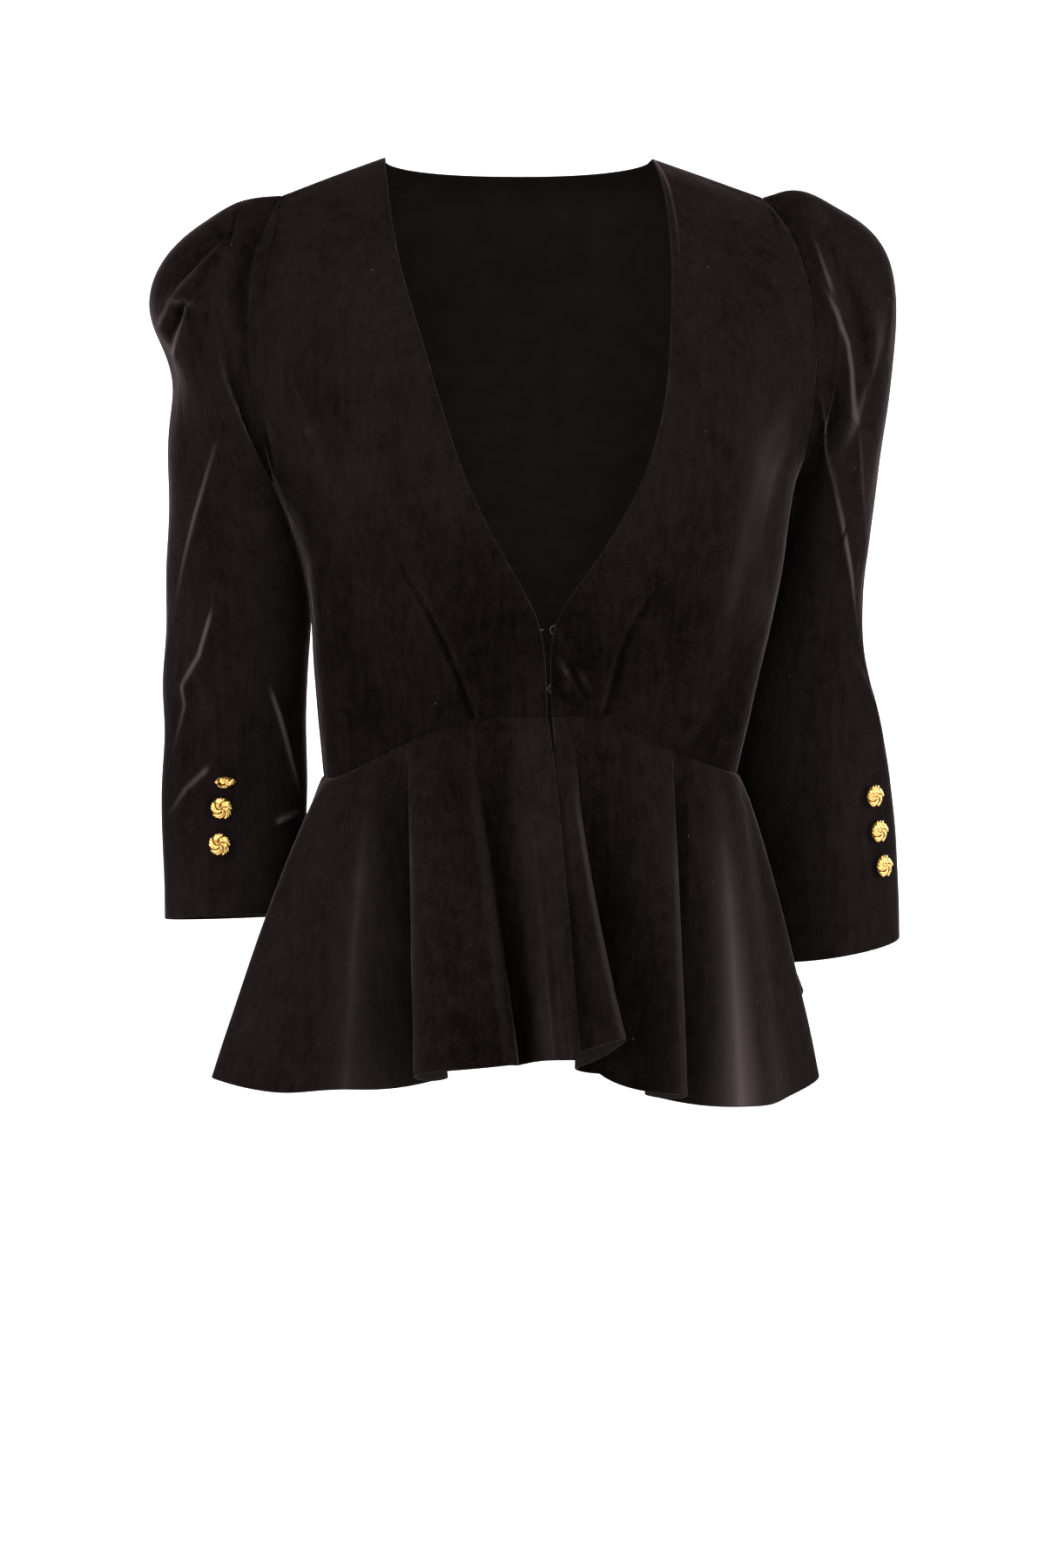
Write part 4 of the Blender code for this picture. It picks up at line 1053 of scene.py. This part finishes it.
def wire_finish():
    """Black japan on steel wire, rubbed a little."""
    made, shade, shader, place = new_finish("black_wire", Metallic=1.0)
    worn = mottle(shade, place, 700, 3)
    colour = worn.mix((0.010, 0.010, 0.011, 1), (0.060, 0.058, 0.056, 1))
    feed(shader, Base_Color=colour, Roughness=0.25 + worn * 0.3)
    return made


def bent(corners, count=40):
    """A smooth line through the corners."""
    corners = np.asarray(corners, float)
    along = lengths(corners)
    return smooth(along / along[-1], corners, np.linspace(0, 1, count))


def stitches(start, end, count, reach):
    """Turns of thread wound round a wire between two points."""
    way = Vector(end) - Vector(start)
    across = way.orthogonal().normalized()
    turns = np.linspace(0, count * 2 * math.pi, count * 10)
    line = []
    for k, turn in enumerate(turns):
        centre = Vector(start) + way * (k / (len(turns) - 1))
        line.append(centre + Matrix.Rotation(turn, 3, way.normalized()) @ across * reach)
    return tube([tuple(point) for point in line], THREAD_RADIUS, 6)


wire = wire_finish()
behind = CLOTH + WIRE_RADIUS + WIRE_GAP
for level, up in HOOK_LEVELS.items():
    right = front_point("right", np.zeros(1), np.array([up]))[0] + (0, behind, 0)
    left = front_point("left", np.zeros(1), np.array([up]))[0] + (0, behind, 0)
    loop = HOOK_LOOP
    hook = [
        right + (-HOOK_REACH, 0, loop),
        right + (-HOOK_REACH / 2, loop * 0.6, loop / 2),
        right + (0, loop * 1.1, 0),
        right + (loop, loop * 1.1, 0),
        right + (loop * 1.4, loop * 1.9, 0),
        right + (loop, loop * 2.6, 0),
        right + (0, loop * 2.6, 0),
    ]
    turns = np.linspace(-0.8, 0.8, 7) * math.pi / 2 + math.pi
    bow = [left + (loop * math.cos(a) * 0.5, 0, loop * math.sin(a)) for a in turns]
    eye = [left + (HOOK_REACH, 0, loop * 1.4)] + bow + [left + (HOOK_REACH, 0, -loop * 1.4)]
    for name, route in (("hook", hook), ("eye", eye)):
        thread = stitches(*route[:2], THREAD_TURNS, WIRE_RADIUS + THREAD_RADIUS)
        parts = [tube(bent(route), WIRE_RADIUS, 12), thread]
        whole = solid_mesh(f"{name}_{level}_wire", parts, wire)
        stands_for(placed(whole.name, whole), "black_steel", f"{name}_{level}")

# Floor: a plain pale sweep well below the jacket, which keeps its worn shape in the air.
# It rises behind in one bend to a wall, and glows faintly, so that no edge of it shows.
FLOOR_Z, FLOOR_FRONT, WALL_Y, WALL_TOP = -1.45, -4.0, 4.6, 3.5
SWEEP_BEND, SWEEP_HALF, SWEEP_GLOW = 1.0, 5.0, 0.45


def sweep_finish():
    """Matt pale paper."""
    glow = {"Emission_Color": (1, 1, 1, 1), "Emission_Strength": SWEEP_GLOW}
    made, shade, shader, place = new_finish("pale_sweep", Roughness=0.9, **glow)
    grain = mottle(shade, place, 3, 2)
    feed(shader, Base_Color=grain.mix((0.86, 0.86, 0.86, 1), (0.88, 0.88, 0.88, 1)))
    return made


sweep = bpy.data.meshes.new("sweep")
start_y, centre_z = WALL_Y - SWEEP_BEND, FLOOR_Z + SWEEP_BEND
profile = [(FLOOR_FRONT, FLOOR_Z), (start_y, FLOOR_Z)]
for a in np.radians(np.arange(10, 91, 10)):
    profile.append((start_y + SWEEP_BEND * math.sin(a), centre_z - SWEEP_BEND * math.cos(a)))
profile += [(WALL_Y, WALL_TOP)]
sweep.from_pydata(
    [(x, y, z) for y, z in profile for x in (-SWEEP_HALF, SWEEP_HALF)],
    [],
    [(2 * k, 2 * k + 1, 2 * k + 3, 2 * k + 2) for k in range(len(profile) - 1)],
)
sweep.polygons.foreach_set("use_smooth", [True] * len(sweep.polygons))
sweep.materials.append(sweep_finish())
placed("floor", sweep)

# Light: broad soft panels on each side, behind the camera and overhead, and two behind the sleeves.
# A dim even surround fills the shadows.
for name, place, aim, size, power in (
    ("panel_left", (-2.2, -1.7, 0.6), (0, 0, -0.3), (1.2, 2.2), 52),
    ("panel_right", (2.4, -1.4, 0.4), (0, 0, -0.3), (1.0, 2.2), 80),
    ("panel_above", (0.0, -0.9, 2.1), (0, 0, -0.3), (2.2, 1.4), 55),
    ("panel_front", (-0.5, -3.4, 0.2), (0, 0, -0.4), (1.6, 1.6), 75),
    ("wash_left", (-1.7, 0.7, 0.2), (0.2, 2.0, -0.3), (1.0, 2.6), 70),
    ("wash_right", (1.7, 0.7, 0.2), (-0.2, 2.0, -0.3), (1.0, 2.6), 70),
):
    lamp = bpy.data.lights.new(name, "AREA")
    lamp.shape, lamp.size, lamp.size_y, lamp.energy = "RECTANGLE", *size, power
    panel = placed(name, lamp)
    panel.location = place
    panel.rotation_euler = (Vector(aim) - Vector(place)).to_track_quat("-Z", "Y").to_euler()
surround = bpy.data.worlds.new("surround")
surround.use_nodes = True
background = surround.node_tree.nodes["Background"].inputs
background["Color"].default_value = (1, 1, 1, 1)
background["Strength"].default_value = 0.35
bpy.context.scene.world = surround

# Camera: level with the waist, a little to the jacket's right and above, with a long lens.
CAMERA_ACROSS, CAMERA_UP, CAMERA_AWAY = -0.00118, -0.4248, 3.0
right, up, near = (Vector(axis) for axis in IN_FRONT)
camera = placed("camera", bpy.data.cameras.new("camera"))
camera.data.lens, camera.data.sensor_width = 101.7, 36
stand = Matrix.Translation(CAMERA_ACROSS * right + CAMERA_UP * up + CAMERA_AWAY * near)
camera.matrix_world = stand @ Matrix((right, up, near)).transposed().to_4x4()
bpy.context.scene.camera = camera
bpy.context.scene.view_settings.view_transform = "Standard"
